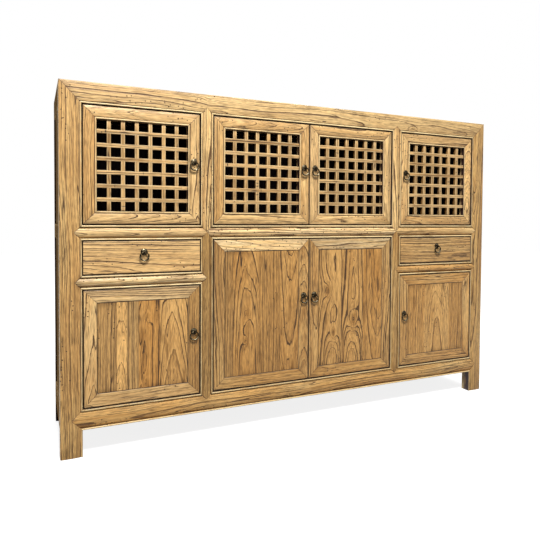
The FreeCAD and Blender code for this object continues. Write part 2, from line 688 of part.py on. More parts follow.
# Doors: four mitred frame members round a lattice or a panel
def door_frame(label, infill, width, height, hinge, pull_z):
    """The frame of one door in its own place: corner at the origin, face at Y = 0."""
    if infill == "lattice":
        section = face_section("stile_width", "round", "bead", "door_thickness", "door_crown")
    else:
        plain = face_section("stile_width", "round", "round", "door_thickness", "0")
        section = grooved(plain, "stile_width")
    inner_width = f"{width} - stile_width"
    inner_height = f"{height} - stile_width"
    pivot = "pivot_inset" if hinge == "left" else f"{width} - pivot_inset"
    pull_x = f"{width} - stile_width / 2" if hinge == "left" else "stile_width / 2"
    depth = "pivot_reach + end_play"
    bores = [
        rod(f"{label}_low_bore", "pivot_radius + pivot_play", f"{depth} + overrun",
            pivot, "pivot_depth", "-overrun"),
        rod(f"{label}_high_bore", "pivot_radius + pivot_play", f"{depth} + overrun",
            pivot, "pivot_depth", f"{height} - ({depth})"),
    ]
    hole = pull_hole(f"{label}_pull_hole", pull_x, pull_z, "door_thickness")
    stiles = {
        "left": ("0", "+", [("0", "0"), ("stile_width", "stile_width"),
                            ("stile_width", inner_height), ("0", height)]),
        "right": (width, "-", [(width, "0"), (width, height), (inner_width, inner_height),
                               (inner_width, "stile_width")]),
    }
    rails = {
        "bottom": ("0", "+", [("0", "0"), (width, "0"), (inner_width, "stile_width"),
                              ("stile_width", "stile_width")]),
        "top": (height, "-", [("0", height), ("stile_width", inner_height),
                              (inner_width, inner_height), (width, height)]),
    }
    parts = []
    for side, (edge, inward, outline) in stiles.items():
        wood = member(f"{label}_{side}_stile_wood", True, section, edge, inward, "0",
                      outline, "0", height)
        parts.append(cut(f"{label}_{side}_stile", wood, bores if side == hinge else [hole]))
    for side, (edge, inward, outline) in rails.items():
        wood = member(f"{label}_{side}_rail_wood", False, section, edge, inward, "0",
                      outline, "0", width)
        parts.append(cut(f"{label}_{side}_rail", wood, bores))
    return parts


def lattice(label, width, height):
    """Upright and level bars, halved into each other where they cross."""
    halves = "(lattice_setback + lattice_bar_depth / 2)"
    back = "lattice_setback + lattice_bar_depth"

    def start_of(number, length):
        """Where a bar begins along its door."""
        hole = (f"({length} - 2 * stile_width - {lattice_bar_count} * lattice_bar_width)"
                f" / {lattice_bar_count + 1}")
        return f"stile_width + {number + 1} * ({hole}) + {number} * lattice_bar_width"

    def notched(length, face, notch_face):
        """Outline of a bar along its length, with a notch at each crossing."""
        corners = [("stile_width", face), ("stile_width", notch_face)]
        for number in range(lattice_bar_count):
            low = start_of(number, length)
            high = f"{low} + lattice_bar_width"
            corners += [(low, notch_face), (low, halves), (high, halves), (high, notch_face)]
        return corners + [(f"{length} - stile_width", notch_face), (f"{length} - stile_width", face)]

    upright = drawing(f"{label}_upright_bar_outline",
                      [(deep, along) for along, deep in notched(height, "lattice_setback", back)],
                      {}, end_plane)
    level = drawing(f"{label}_level_bar_outline", notched(width, back, "lattice_setback"),
                    {}, flat_plane)
    bars = []
    for number in range(lattice_bar_count):
        bar = prism(f"{label}_upright_bar_{number + 1}", upright, x_axis, "lattice_bar_width")
        bars.append(set_at(bar, x=start_of(number, width)))
        bar = prism(f"{label}_level_bar_{number + 1}", level, z_axis, "lattice_bar_width")
        bars.append(set_at(bar, z=start_of(number, height)))
    return bars


def panel(label, width, height):
    """A flush panel with a tongue all round, and two battens across its back."""
    back = "tongue_start + tongue_thickness"
    field_low = "stile_width + panel_joint"
    tongue_low = "stile_width - tongue_reach"
    field = block(f"{label}_field", (field_low, f"{width} - ({field_low})"), ("panel_setback", back),
                  (field_low, f"{height} - ({field_low})"))
    tongue = block(f"{label}_tongue", (tongue_low, f"{width} - ({tongue_low})"), ("tongue_start", back),
                   (tongue_low, f"{height} - ({tongue_low})"))
    battens = []
    for place, low in (("low", "stile_width + batten_inset"),
                       ("high", f"{height} - stile_width - batten_inset - batten_height")):
        battens.append(block(f"{label}_{place}_batten", ("stile_width", f"{width} - stile_width"),
                             (back, f"{back} + batten_depth"), (low, f"{low} + batten_height")))
    return [joined(f"{label}_board", [field, tongue])] + battens


door_plans = [
    ("upper_left_door", "lattice", "side", "left", "bay_low + door_gap", "upper"),
    ("upper_centre_left_door", "lattice", "centre", "left", "centre_low + door_gap", "upper"),
    ("upper_centre_right_door", "lattice", "centre", "right", "door_gap / 2", "upper"),
    ("upper_right_door", "lattice", "side", "right", "door_gap - bay_high", "upper"),
    ("lower_left_door", "panel", "side", "left", "bay_low + door_gap", "low"),
    ("lower_centre_left_door", "panel", "centre", "left", "centre_low + door_gap", "tall"),
    ("lower_centre_right_door", "panel", "centre", "right", "door_gap / 2", "tall"),
    ("lower_right_door", "panel", "side", "right", "door_gap - bay_high", "low"),
]
for label, infill, breadth, hinge, x, tier in door_plans:
    width = f"{breadth}_door_width"
    height = f"{tier}_door_height"
    z = "upper_start + door_gap" if tier == "upper" else "low_start + door_gap"
    pull_z = f"{tier}_pull_share * {height}"
    node(f"{label}_frame", door_frame(label, infill, width, height, hinge, pull_z), x, "door_face", z)
    filling = lattice(label, width, height) if infill == "lattice" else panel(label, width, height)
    node(f"{label}_{infill}", filling, x, "door_face", z)
    pull_x = f"{x} + {width} - stile_width / 2" if hinge == "left" else f"{x} + stile_width / 2"
    pull_and_ring(label, pull_x, f"{z} + {pull_z}", "door_thickness")


# Drawers: a plain flat front on a box of two sides, a back and a bottom
def drawer(label, x):
    """One drawer: its front, its box and its pull."""
    width, height = "side_door_width", "drawer_front_height"
    pull_z = f"drawer_pull_share * {height}"
    z = "drawer_start + door_gap"
    front_range = [("0", "0"), (width, "0"), (width, height), ("0", height)]
    upright = member(f"{label}_front_upright", True,
                     face_section(width, "round", "round", "drawer_front_thickness", "0"),
                     "0", "+", "0", front_range, "0", height)
    level = member(f"{label}_front_level", False,
                   face_section(height, "round", "round", "drawer_front_thickness", "0"),
                   "0", "+", "0", front_range, "0", width)
    board = common(f"{label}_front_board", upright, level)
    hole = pull_hole(f"{label}_pull_hole", f"{width} / 2", pull_z, "drawer_front_thickness")
    node(f"{label}_front", [cut(f"{label}_front_bored", board, [hole])], x, "door_face", z)
    outer = ("drawer_inset", f"{width} - drawer_inset")
    inner = ("drawer_inset + drawer_side_thickness", f"{width} - drawer_inset - drawer_side_thickness")
    length_range = ("drawer_front_thickness", "drawer_length")
    height_range = ("0", "drawer_side_height")
    bottom = block(f"{label}_bottom", (f"{inner[0]} - drawer_groove", f"{inner[1]} + drawer_groove"),
                   ("drawer_front_thickness", "drawer_length - drawer_side_thickness + drawer_groove"),
                   ("drawer_bottom_lift", "drawer_bottom_lift + drawer_bottom_thickness"))
    walls = {
        "left_side": ((outer[0], inner[0]), length_range),
        "right_side": ((inner[1], outer[1]), length_range),
        "back": (inner, ("drawer_length - drawer_side_thickness", "drawer_length")),
    }
    box_parts = [bottom]
    for place, (x_range, y_range) in walls.items():
        wood = block(f"{label}_{place}_wood", x_range, y_range, height_range)
        box_parts.append(cut(f"{label}_{place}", wood, [bottom]))
    node(f"{label}_box", box_parts, x, "door_face", z)
    pull_and_ring(label, f"{x} + {width} / 2", f"{z} + {pull_z}", "drawer_front_thickness")


drawer("left_drawer", "bay_low + door_gap")
drawer("right_drawer", "door_gap - bay_high")

document.recompute()

# Every object must have built, and every sub-part must be sound
failed = [item.Label for item in document.Objects
          if "Invalid" in item.State or "Error" in item.State]
if failed:
    raise RuntimeError("did not build: " + ", ".join(failed))
labels = [piece.Label for piece in subparts]
if len(set(labels)) != len(labels):
    raise RuntimeError("two sub-parts share a name")
for piece in subparts:
    if piece.Shape.isNull() or not piece.Shape.isValid() or not piece.Shape.Solids:
        raise RuntimeError("unsound sub-part: " + piece.Label)

os.makedirs("parts", exist_ok=True)
for piece in subparts:
    piece.Shape.exportStep(f"parts/{piece.Label}.step")
print(len(subparts), "sub-parts,", sum(len(piece.Shape.Solids) for piece in subparts), "solids")
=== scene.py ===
# A book cabinet in reclaimed elm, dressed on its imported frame: moulded and
# mitred timbers, lattice doors, flush panels and bronze ring pulls.
# Metres, +Z up, doors facing -Y.  Every timber lies where its CAD node lies.
import zlib
from functools import partial

import bpy
import numpy as np
from mathutils import Matrix, Vector


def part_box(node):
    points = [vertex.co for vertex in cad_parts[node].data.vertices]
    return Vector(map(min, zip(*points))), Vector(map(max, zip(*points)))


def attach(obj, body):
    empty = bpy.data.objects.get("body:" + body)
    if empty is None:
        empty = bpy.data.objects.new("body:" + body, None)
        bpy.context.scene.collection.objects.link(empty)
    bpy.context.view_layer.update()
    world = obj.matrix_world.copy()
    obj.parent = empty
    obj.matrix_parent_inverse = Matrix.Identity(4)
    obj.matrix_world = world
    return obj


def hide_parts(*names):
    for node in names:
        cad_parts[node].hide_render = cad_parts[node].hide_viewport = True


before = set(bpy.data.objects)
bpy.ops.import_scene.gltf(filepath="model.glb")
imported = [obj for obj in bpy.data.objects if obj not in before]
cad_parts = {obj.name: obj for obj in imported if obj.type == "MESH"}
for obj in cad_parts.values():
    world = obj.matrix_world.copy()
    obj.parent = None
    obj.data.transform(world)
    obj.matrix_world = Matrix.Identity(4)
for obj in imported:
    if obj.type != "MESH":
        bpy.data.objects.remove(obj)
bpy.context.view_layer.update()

# Camera: stands before the cabinet's left end at mid height and looks a
# quarter turn to the right.  Its place comes from corners found in the photo.
frame_pixels = 540
focal_pixels = 524.7
centre_pixel = (272.5, 233.8)
sensor_width = 0.036
camera_place = Vector((-0.8644, -1.7614, 0.6926))
camera_yaw = 0.4270
camera_pitch = -0.0281
camera_roll = 0.0059

lens = bpy.data.cameras.new("camera")
lens.sensor_width = sensor_width * 1000
lens.lens = sensor_width * 1000 * focal_pixels / frame_pixels
lens.shift_x = -(centre_pixel[0] - frame_pixels / 2) / frame_pixels
lens.shift_y = (centre_pixel[1] - frame_pixels / 2) / frame_pixels
camera = bpy.data.objects.new("camera", lens)
bpy.context.scene.collection.objects.link(camera)
bpy.context.scene.camera = camera
forward = Vector((np.sin(camera_yaw) * np.cos(camera_pitch),
                  np.cos(camera_yaw) * np.cos(camera_pitch), np.sin(camera_pitch)))
level = Vector((np.cos(camera_yaw), -np.sin(camera_yaw), 0))
upward = level.cross(forward)
right = np.cos(camera_roll) * level + np.sin(camera_roll) * upward
upward = np.cos(camera_roll) * upward - np.sin(camera_roll) * level
turned = Matrix((right, upward, -forward)).transposed().to_4x4()
camera.matrix_world = Matrix.Translation(camera_place) @ turned

# Front posts: two elm uprights that run to the floor as legs.  Each is
# moulded with a bead along the doors, and notched for the pointed rail ends.
post_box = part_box("left_front_post")
bottom_rail_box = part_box("bottom_front_rail")
drawer_rails_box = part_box("drawer_rails")
mid_rails_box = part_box("mid_rails")
top_rail_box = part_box("top_front_rail")
mullion_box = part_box("left_mullion")
end_face = -post_box[0].x
front = post_box[0].y
frame_back = post_box[1].y
frame_depth = frame_back - front
bay_low = post_box[1].x
bay_high = mullion_box[0].x
centre_low = mullion_box[1].x
mullion_middle = (bay_high + centre_low) / 2
leg_height, low_start = bottom_rail_box[0].z, bottom_rail_box[1].z
low_end, drawer_start = drawer_rails_box[0].z, drawer_rails_box[1].z
drawer_end, upper_start = mid_rails_box[0].z, mid_rails_box[1].z
upper_end, height = top_rail_box[0].z, top_rail_box[1].z
post_crown = 0.0016
rail_crown = 0.0068
bead_width = 0.005
bead_rise = 0.0018
quirk_width = 0.0021
rail_quirk = 0.0044
upright_quirk = 0.0016
round_edge = 0.0025
wall_lean = 0.00002
wall_dark = 0.004
joint_steps = np.array([0, 0.0005, 0.0011, 0.0022, 0.0045])
edge_spared = {"bead": 0.0005, "round": 0.0035, "gap": 0.002}
joint_groove, joint_groove_reach = 0.0004, 0.0008
along_step = 0.006
batch = 2000
bruise_depth, bruise_reach, bruise_level = 0.0022, 0.002, 0.22
bruise_waves = (0.23, 0.17)
planing, planing_wave = 0.0002, 0.4
bow, bow_length = 0.003, 0.09
rub_reach = 0.012
foot_darkening, foot_reach = 0.22, 0.05
knot_rise, knot_fall, knot_dark, knot_heart = 0.9, 1.3, 0.5, 0.28
line_width = 0.0022


def ripple(draw, places, longest):
    """A smooth wandering value between about -1 and 1: the sum of four sine
    waves, each half as long and 0.6 times as high as the one before."""
    total = np.zeros_like(places)
    for octave in range(4):
        wave = np.sin(places * 2 * np.pi * 2 ** octave / longest + draw.uniform(0, 2 * np.pi))
        total += wave * 0.6 ** octave
    return total / 2


def log_cut(name, **chosen):
    """How a timber was sawn from its log, drawn from the timber's own name:
    pith is the log's heart behind the face, side its place across the face,
    tilt and skew its lean.  light, warm and line are its colouring, fall how
    much lighter it grows along, a painted falloff of light, rub how
    much paler the upper half of its face is, as painted top light, foot the end
    that is darker, and knots are (along, across, size)."""
    draw = np.random.default_rng(zlib.crc32(name.encode()))
    cut = {
        "pith": draw.uniform(0.03, 0.09),
        "side": draw.uniform(-0.06, 0.06),
        "tilt": draw.uniform(-0.04, 0.04),
        "skew": draw.uniform(-0.02, 0.02),
        "start": draw.uniform(5, 60),
        "light": draw.uniform(-0.08, 0.08),
        "warm": draw.uniform(-0.4, 0.5),
        "line": draw.uniform(0.55, 1.1),
        "fall": 0.0,
        "rub": 0.0,
        "knots": (),
    }
    cut.update(chosen)
    return cut


def in_the_log(cut, along, across, deep):
    """Each point's place in its log, as distance along the log, sideways and
    outwards from the pith, and its light, warm and line.  A knot lifts the
    rings by a height that fades with distance, and has a dark heart."""
    outward = cut["pith"] + deep + cut["tilt"] * along + bow * np.sin(along / bow_length + cut["start"])
    # Painted light: fall lightens the timber along its length as a painted falloff of light, and the next
    # term pales the upper half of the face as painted top light.
    light = cut["light"] + cut["fall"] * along + cut["rub"] * np.clip(across / rub_reach, -1, 1)
    # The end at the foot is made darker.
    if "foot" in cut:
        light = light - foot_darkening * np.exp(-np.abs(along - cut["foot"]) / foot_reach)
    for place, side, size in cut["knots"]:
        far = np.sqrt(((along - place) / 2.0) ** 2 + (across - side) ** 2) / size
        outward = outward + knot_rise * size * np.exp(-knot_fall * far)
        light = light - knot_dark * np.exp(-(far / knot_heart) ** 2)
    sideways = across - cut["side"] + cut["skew"] * along
    grain = np.stack([along + cut["start"], sideways, outward], axis=-1)
    plain = np.ones(len(along))
    tone = np.stack([light, cut["warm"] * plain, cut["line"] * plain], axis=-1)
    return grain, tone


def outwards(places, faces):
    """The faces, turned round if the volume they enclose comes out negative."""
    a, b, c, d = (places[faces[:, corner]] for corner in range(4))
    volume = np.einsum("ij,ij->", a, np.cross(b, c)) + np.einsum("ij,ij->", a, np.cross(c, d))
    return faces if volume > 0 else faces[:, ::-1]


def face_section(width, low_edge, high_edge, crown, quirk=0.0, breaks=()):
    """Depth of a member's face at places across it: a crowned body that falls
    off as an ellipse, and at each edge a half-round bead beside a groove, or a
    quarter-round.  An edge at a gap turns the corner into a wall, painted near
    black as painted shade.  Returns the places, the depths, how dark each place
    is painted (painted shade at the gaps, on a bead's outer side and in the
    grooves, where it is partly dirt; below nought where a bead's crest is
    painted pale, as wear and painted highlight), and how far each edge is kept
    from wear."""
    def one_edge(kind):
        if kind == "bead":
            swing = np.linspace(0, np.pi, 9)
            across = bead_width / 2 * (1 - np.cos(swing))
            depth = bead_rise * (1 - np.sin(swing))
            across = np.append(across, bead_width + quirk_width * np.array([0.12, 0.88]))
            depth = np.append(depth, np.full(2, max(quirk, crown + 0.5 * quirk)))
            # Painted shade on the bead's outer side by the gap and in the groove, where it is partly dirt;
            # the crest is painted pale as wear and painted highlight.
            depth_share = min(1, quirk / rail_quirk + 0.2)
            crest = -depth_share ** 2 * np.array([0, 0, 0, 0.4, 0.9, 1, 0.9, 0.5, 0])
            dirt_and_painted_light = np.append([1, 1, 0.7, 0, 0, 0, 0, 0, 0.4] + crest, np.full(2, depth_share))
            reach = bead_width + quirk_width
        else:
            swing = np.linspace(0, np.pi / 2, 5)[:-1]
            across = round_edge * (1 - np.cos(swing))
            depth = crown + round_edge * (1 - np.sin(swing))
            # Painted shade on the rounded edge beside a gap.
            dirt_and_painted_light = np.array([1.0, 1.0, 0.85, 0.4]) if kind == "gap" else np.zeros(4)
            reach = round_edge
        if kind != "round":
            across = np.append([0, wall_lean], across + 2 * wall_lean)
            depth = np.append(depth[0] + np.array([wall_dark, 0.3 * wall_dark]), depth)
            # The wall down into the gap is painted near black: painted shade.
            dirt_and_painted_light = np.append([2, 1], dirt_and_painted_light)
            reach += 2 * wall_lean
        return across, depth, dirt_and_painted_light, reach

    low, high = one_edge(low_edge), one_edge(high_edge)
    spread = np.concatenate([[-1, -0.97], np.linspace(-0.92, 0.92, 11), [0.97, 1]])
    half = (width - low[3] - high[3]) / 2
    body = low[3] + half * (1 + spread)
    flatness = 0.80
    fall = (1 - np.sqrt(1 - (flatness * spread) ** 2)) / (1 - np.sqrt(1 - flatness ** 2))
    across = np.concatenate([low[0], body, width - high[0][::-1]])
    depth = np.concatenate([low[1], crown * fall, high[1][::-1]])
    dirt_and_painted_light = np.concatenate([low[2], np.zeros(len(body)), high[2][::-1]])
    every = np.unique(np.concatenate([across, list(breaks)]))
    spared = [edge_spared[kind] for kind in (low_edge, high_edge)]
    return every, np.interp(every, across, depth), np.interp(every, across, dirt_and_painted_light), spared


def moulded(name, section, back, spans, place, cut, free=()):
    """A moulded timber as a closed grid: its section carried along each span,
    whose two ends follow lines (places across, places along).  Spans that meet
    are one timber.  free lists ends, such as a foot, that are no joint."""
    across, depth, dirt_and_painted_light, spared = section
    draw = np.random.default_rng(zlib.crc32(name.encode()) + 1)
    count = len(across)
    lines = [[np.interp(across, *end) for end in span] for span in spans]
    middle = (lines[0][0].min() + lines[-1][1].max()) / 2
    nick_draw = draw.uniform(0, 1, 3)
    joints = []
    for number, ends in enumerate(lines):
        for end, line in enumerate(ends):
            after = number + (1 if end else -1)
            meets = 0 <= after < len(lines)
            alone = np.full(count, (number, end) not in free)
            open_here = line != lines[after][1 - end] if meets else alone
            joints.append(np.stack([across, line], axis=1)[open_here])
    fine = [np.full((1, 2), 9.0)]
    for line in joints:
        if len(line) > 1:
            finer = np.linspace(0, len(line) - 1, 8 * len(line))
            fine.append(np.stack([np.interp(finer, np.arange(len(line)), column)
                                  for column in line.T], axis=1))
    fine = np.concatenate(fine)
    chunks = []
    for number, (start, stop) in enumerate(lines):
        length = (stop - start).mean()
        between = np.linspace(0, 1, max(3, int(length / along_step)))[1:-1]
        edge = joint_steps[-1]
        rest = (stop - start - 2 * edge)[:, None]
        along = np.concatenate([start[:, None] + joint_steps, start[:, None] + edge + rest * between,
                                stop[:, None] - joint_steps[::-1]], axis=1)
        steps = along.shape[1]
        side = np.repeat(across[:, None], steps, axis=1)
        flat = np.stack([side.ravel(), along.ravel()], axis=1)
        gap = np.full(len(flat), 1.0)
        for part in np.array_split(np.arange(len(flat)), 1 + len(flat) // batch):
            gap[part] = np.sqrt(((flat[part, None] - fine[None]) ** 2).sum(axis=2)).min(axis=1)
        gap = gap.reshape(side.shape)
        arris = np.minimum(side + spared[0], across[-1] - side + spared[1])
        bruise = ripple(draw, along + nick_draw[0], bruise_waves[0])
        bruise = bruise * ripple(draw, along * 3 + nick_draw[1], bruise_waves[1])
        bruise = np.clip(bruise - bruise_level, 0, None) * np.exp(-arris / bruise_reach)
        deep = depth[:, None] + planing * ripple(draw, along + side, planing_wave) + bruise_depth * bruise
        deep += joint_groove * np.exp(-gap / joint_groove_reach)
        rear = np.full_like(deep, back)
        places = np.concatenate([place(side, along, level).reshape(-1, 3) for level in (deep, rear)])
        half = count * steps
        grid = np.arange(half).reshape(count, steps)
        faces = np.stack([grid[:-1, :-1], grid[1:, :-1], grid[1:, 1:], grid[:-1, 1:]], axis=-1)
        faces = faces.reshape(-1, 4)
        quads = [faces, faces[:, ::-1] + half]
        for column in (0, -1):
            line = grid[column]
            wall = np.stack([line[:-1], line[1:], line[1:] + half, line[:-1] + half], axis=-1)
            quads.append(wall if column == 0 else wall[:, ::-1])
        for end, row in ((0, 0), (1, -1)):
            after = number + (1 if end else -1)
            line = grid[:, row]
            cap = np.stack([line[:-1], line[:-1] + half, line[1:] + half, line[1:]], axis=-1)
            if 0 <= after < len(lines):
                apart = (start, stop)[end] != lines[after][1 - end]
                cap = cap[apart[:-1] | apart[1:]]
            quads.append(cap if end == 0 else cap[:, ::-1])
        both = np.concatenate([deep.ravel(), rear.ravel()])
        grain, tone = in_the_log(cut, np.tile(along.ravel(), 2) - middle,
                                 np.tile(side.ravel(), 2) - across[-1] / 2, both)
        # Painted light and dirt on the face points: painted shade at the gaps and in the grooves (partly
        # dirt there), and bead crests painted pale as highlight.
        painted_light_and_dirt = np.concatenate([np.repeat(dirt_and_painted_light[:, None], steps, axis=1).ravel(), np.zeros(half)])
        wear_dirt_and_light = np.stack([np.tile(gap.ravel(), 2), np.tile(arris.ravel(), 2), painted_light_and_dirt], axis=1)
        chunks.append((places, np.concatenate(quads), grain, tone, wear_dirt_and_light))
    return welded(chunks)


def joined(parts):
    """Several meshes made one: points, faces, and values that go with points."""
    shift = np.cumsum([0] + [len(part[0]) for part in parts[:-1]])
    faces = np.concatenate([part[1] + offset for part, offset in zip(parts, shift)])
    places, *layers = (np.concatenate([part[layer] for part in parts])
                       for layer in range(len(parts[0])) if layer != 1)
    return (places, faces, *layers)


def welded(chunks):
    """Several grids made one, with the points that fall together made one."""
    places, faces, *layers = joined(chunks)
    keys = np.round(places * 1e6).astype(np.int64)
    _, first, merged = np.unique(keys, axis=0, return_index=True, return_inverse=True)
    faces = merged.ravel()[faces]
    return (places[first], outwards(places[first], faces), *(layer[first] for layer in layers))


def placed(name, body, material, shape, sharp, layers, nodes):
    """One piece in the scene, smooth but for edges sharper than an angle, with
    its named layers of values on the points."""
    places, faces = shape
    mesh = bpy.data.meshes.new(name)
    mesh.from_pydata(places.tolist(), [], faces.tolist())
    for label, values in layers.items():
        kind, field = ("FLOAT_VECTOR", "vector") if values.ndim == 2 else ("FLOAT", "value")
        layer = mesh.attributes.new(label, kind, "POINT")
        layer.data.foreach_set(field, values.astype(np.float32).ravel())
    mesh.polygons.foreach_set("use_smooth", np.ones(len(faces), bool))
    mesh.set_sharp_from_angle(angle=sharp)
    mesh.materials.append(material)
    piece = bpy.data.objects.new(name, mesh)
    bpy.context.scene.collection.objects.link(piece)
    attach(piece, body)
    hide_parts(*nodes)


def built(name, body, slot, material, timbers, *nodes):
    """One wooden piece: its timbers with log coordinates, colouring and wear."""
    places, faces, *layers = joined(timbers)
    layers = dict(zip(("grain", "tone", "wear_dirt_and_light"), layers))
    placed(name, body, material, (places, faces), 0.62, layers, nodes)


def add_node(tree, kind, inputs=(), **settings):
    """A shader node with its settings; inputs holds values or linked sockets."""
    node = tree.nodes.new(kind)
    for setting, value in settings.items():
        setattr(node, setting, value)
    for socket, value in dict(inputs).items():
        if isinstance(value, bpy.types.NodeSocket):
            tree.links.new(value, node.inputs[socket])
        else:
            node.inputs[socket].default_value = value
    return node


def maths(tree, operation, first, second=0.0, clamp=False):
    """One sum on two values."""
    return add_node(tree, "ShaderNodeMath", {0: first, 1: second},
                    operation=operation, use_clamp=clamp).outputs[0]


def vector_maths(tree, operation, *inputs):
    """One sum on vectors, or the length of one."""
    node = add_node(tree, "ShaderNodeVectorMath", enumerate(inputs), operation=operation)
    return node.outputs["Value" if operation == "LENGTH" else "Vector"]


def parts_of(tree, vector):
    """The three values of a vector."""
    return add_node(tree, "ShaderNodeSeparateXYZ", {0: vector}).outputs


def blended(tree, share, first, second, kind="MIX"):
    """Two colours mixed by a share."""
    inputs = {0: share, 6: first, 7: second}
    return add_node(tree, "ShaderNodeMix", inputs, data_type="RGBA", blend_type=kind).outputs[2]


def ramp(tree, value, low, high, first=0.0, last=1.0):
    """A smooth step of a value between two limits."""
    inputs = {"Value": value, "From Min": low, "From Max": high, "To Min": first, "To Max": last}
    return add_node(tree, "ShaderNodeMapRange", inputs, interpolation_type="SMOOTHSTEP").outputs[0]


def clouds(tree, vector, scale, detail=1.0, shift=0.0, output=0):
    """Noise with its own scale along, sideways and outwards in the log."""
    stretched = vector_maths(tree, "MULTIPLY_ADD", vector, scale, (shift, shift, shift))
    inputs = {"Vector": stretched, "Scale": 1.0, "Detail": detail}
    return add_node(tree, "ShaderNodeTexNoise", inputs).outputs[output]


def elm_figure():
    """Node group of sawn elm.  Growth rings are shells round the pith: the
    distance from it, bent by slow noise, is divided by the ring width, and each
    ring ends in a dark line as wide on the face wherever the ring is cut.
    Fibres, pores, smudges, insect holes, joints and rubbed arrises lie over it,
    with painted highlight on arrises and bead crests, and painted shade in
    grooves, gaps and inside faces."""
    tree = bpy.data.node_groups.new("elm_figure", "ShaderNodeTree")
    vector, colour, value = "NodeSocketVector", "NodeSocketColor", "NodeSocketFloat"
    for label, kind in (("Grain", vector), ("Tone", vector), ("Wear_dirt_and_light", vector), ("Pale", colour),
                        ("Brown", colour), ("Dark", colour), ("Ring width", value), ("Age", value)):
        tree.interface.new_socket(label, in_out="INPUT", socket_type=kind)
    for label, kind in (("Colour", colour), ("Roughness", value), ("Height", value)):
        tree.interface.new_socket(label, in_out="OUTPUT", socket_type=kind)
    given = add_node(tree, "NodeGroupInput").outputs
    grain, ring_width = given["Grain"], given["Ring width"]
    light, warm, strength = parts_of(tree, given["Tone"])
    from_joint, from_edge, dirt_and_painted_light = parts_of(tree, given["Wear_dirt_and_light"])
    times, plus, less, over, highest = (partial(maths, tree, operation) for operation in (
        "MULTIPLY", "ADD", "SUBTRACT", "DIVIDE", "MAXIMUM"))
    step, mixed, noise = partial(ramp, tree), partial(blended, tree), partial(clouds, tree, grain)

    def wander(place, detail):
        inputs = {"W": place, "Scale": 1.0, "Detail": detail}
        return add_node(tree, "ShaderNodeTexNoise", inputs, noise_dimensions="1D").outputs[0]

    def tinted(base, tint):
        return mixed(1.0, base, (*tint, 1), "MULTIPLY")

    # Growth rings: how far through its ring each point is
    bend = vector_maths(tree, "SUBTRACT", noise((1.7, 9, 9), 2, output="Color"), (0.5, 0.5, 0.5))
    bent = vector_maths(tree, "MULTIPLY_ADD", bend, (0, 0.021, 0.021), grain)
    _, sideways, outward = parts_of(tree, bent)
    flat = add_node(tree, "ShaderNodeCombineXYZ", {1: sideways, 2: outward}).outputs[0]
    shell = vector_maths(tree, "LENGTH", flat)
    shell = plus(shell, times(less(noise((9, 70, 70), 2), 0.5), 0.0034))
    rings = over(shell, ring_width)
    rings = plus(rings, times(wander(times(rings, 0.55), 0.0), 1.8))
    share = maths(tree, "FRACT", rings)
    ring_number = maths(tree, "FLOOR", rings)
    chance = add_node(tree, "ShaderNodeTexWhiteNoise", {"W": ring_number}, noise_dimensions="1D").outputs[0]

    # Dark ring lines: a core and a halo, as wide on the face at any slope
    fibre = noise((14, 420, 420), 2)
    lean = over(sideways, shell)
    slope = maths(tree, "SQRT", plus(times(lean, lean), 0.008))
    thin = over(times(slope, line_width), ring_width)
    thin = times(thin, plus(less(fibre, 0.1), times(strength, 0.85)))
    before = over(less(1.0, share), thin)
    core = step(before, 0.8, 1.2, 1.0, 0.0)
    halo = step(before, 0.0, 2.6, 0.18, 0.0)
    patchy = step(noise((9, 40, 40), 2, 3.0), 0.38, 0.50, 0.45, 1.0)
    weight = times(step(chance, 0.15, 0.65, 0.30, 1.0), strength)
    line = times(plus(core, halo), times(weight, patchy), clamp=True)

    # Ground: pale to brown, then reddened or greyed by its warmth
    cloud = noise((2.6, 15, 15), 2, 7.0)
    streak = noise((2.4, 130, 130), 2, 11.0)
    veins = wander(times(rings, 5.2), 1.0)
    shade = plus(times(step(cloud, 0.32, 0.68), 0.36), times(share, 0.26))
    shade = plus(shade, times(step(streak, 0.44, 0.60), 0.16))
    shade = plus(shade, times(less(veins, 0.5), 0.80), clamp=True)
    wood = mixed(shade, given["Pale"], given["Brown"])
    reddened = less(times(warm, step(cloud, 0.25, 0.55)), times(light, 2.2), clamp=True)
    wood = mixed(reddened, wood, tinted(wood, (1.0, 0.86, 0.64)))
    faded = times(times(warm, -1.0), step(streak, 0.3, 0.6), clamp=True)
    wood = mixed(faded, wood, tinted(wood, (0.93, 1.05, 1.32)))

    # Dark marks along the grain: lines and cracks, pores, dashes, stripes
    split = maths(tree, "ABSOLUTE", less(noise((1.6, 52, 52), 1, 37.0), 0.5))
    torn = step(noise((7, 30, 30), 2, 41.0), 0.55, 0.59)
    line = highest(line, times(step(split, 0.004, 0.014, 1.0, 0.0), torn))
    pores = times(step(noise((60, 900, 900), 0), 0.60, 0.74), step(share, 0.4, 1.0, 0.15, 0.8))
    dash = step(noise((22, 330, 330), 1, 29.0), 0.58, 0.66)
    stripe = times(step(noise((4, 230, 230), 1, 23.0), 0.52, 0.60), patchy)
    for mark, depth in ((line, 0.94), (pores, 0.6), (dash, 0.46), (stripe, 0.24)):
        wood = mixed(times(mark, depth), wood, given["Dark"])
    lift = plus(times(less(fibre, 0.5), 0.45), plus(light, 1.04))
    lift = plus(lift, times(less(noise((50, 330, 330), 1, 5.0), 0.5), 0.75))
    wood = add_node(tree, "ShaderNodeVectorMath", {0: wood, "Scale": lift}, operation="SCALE").outputs[0]

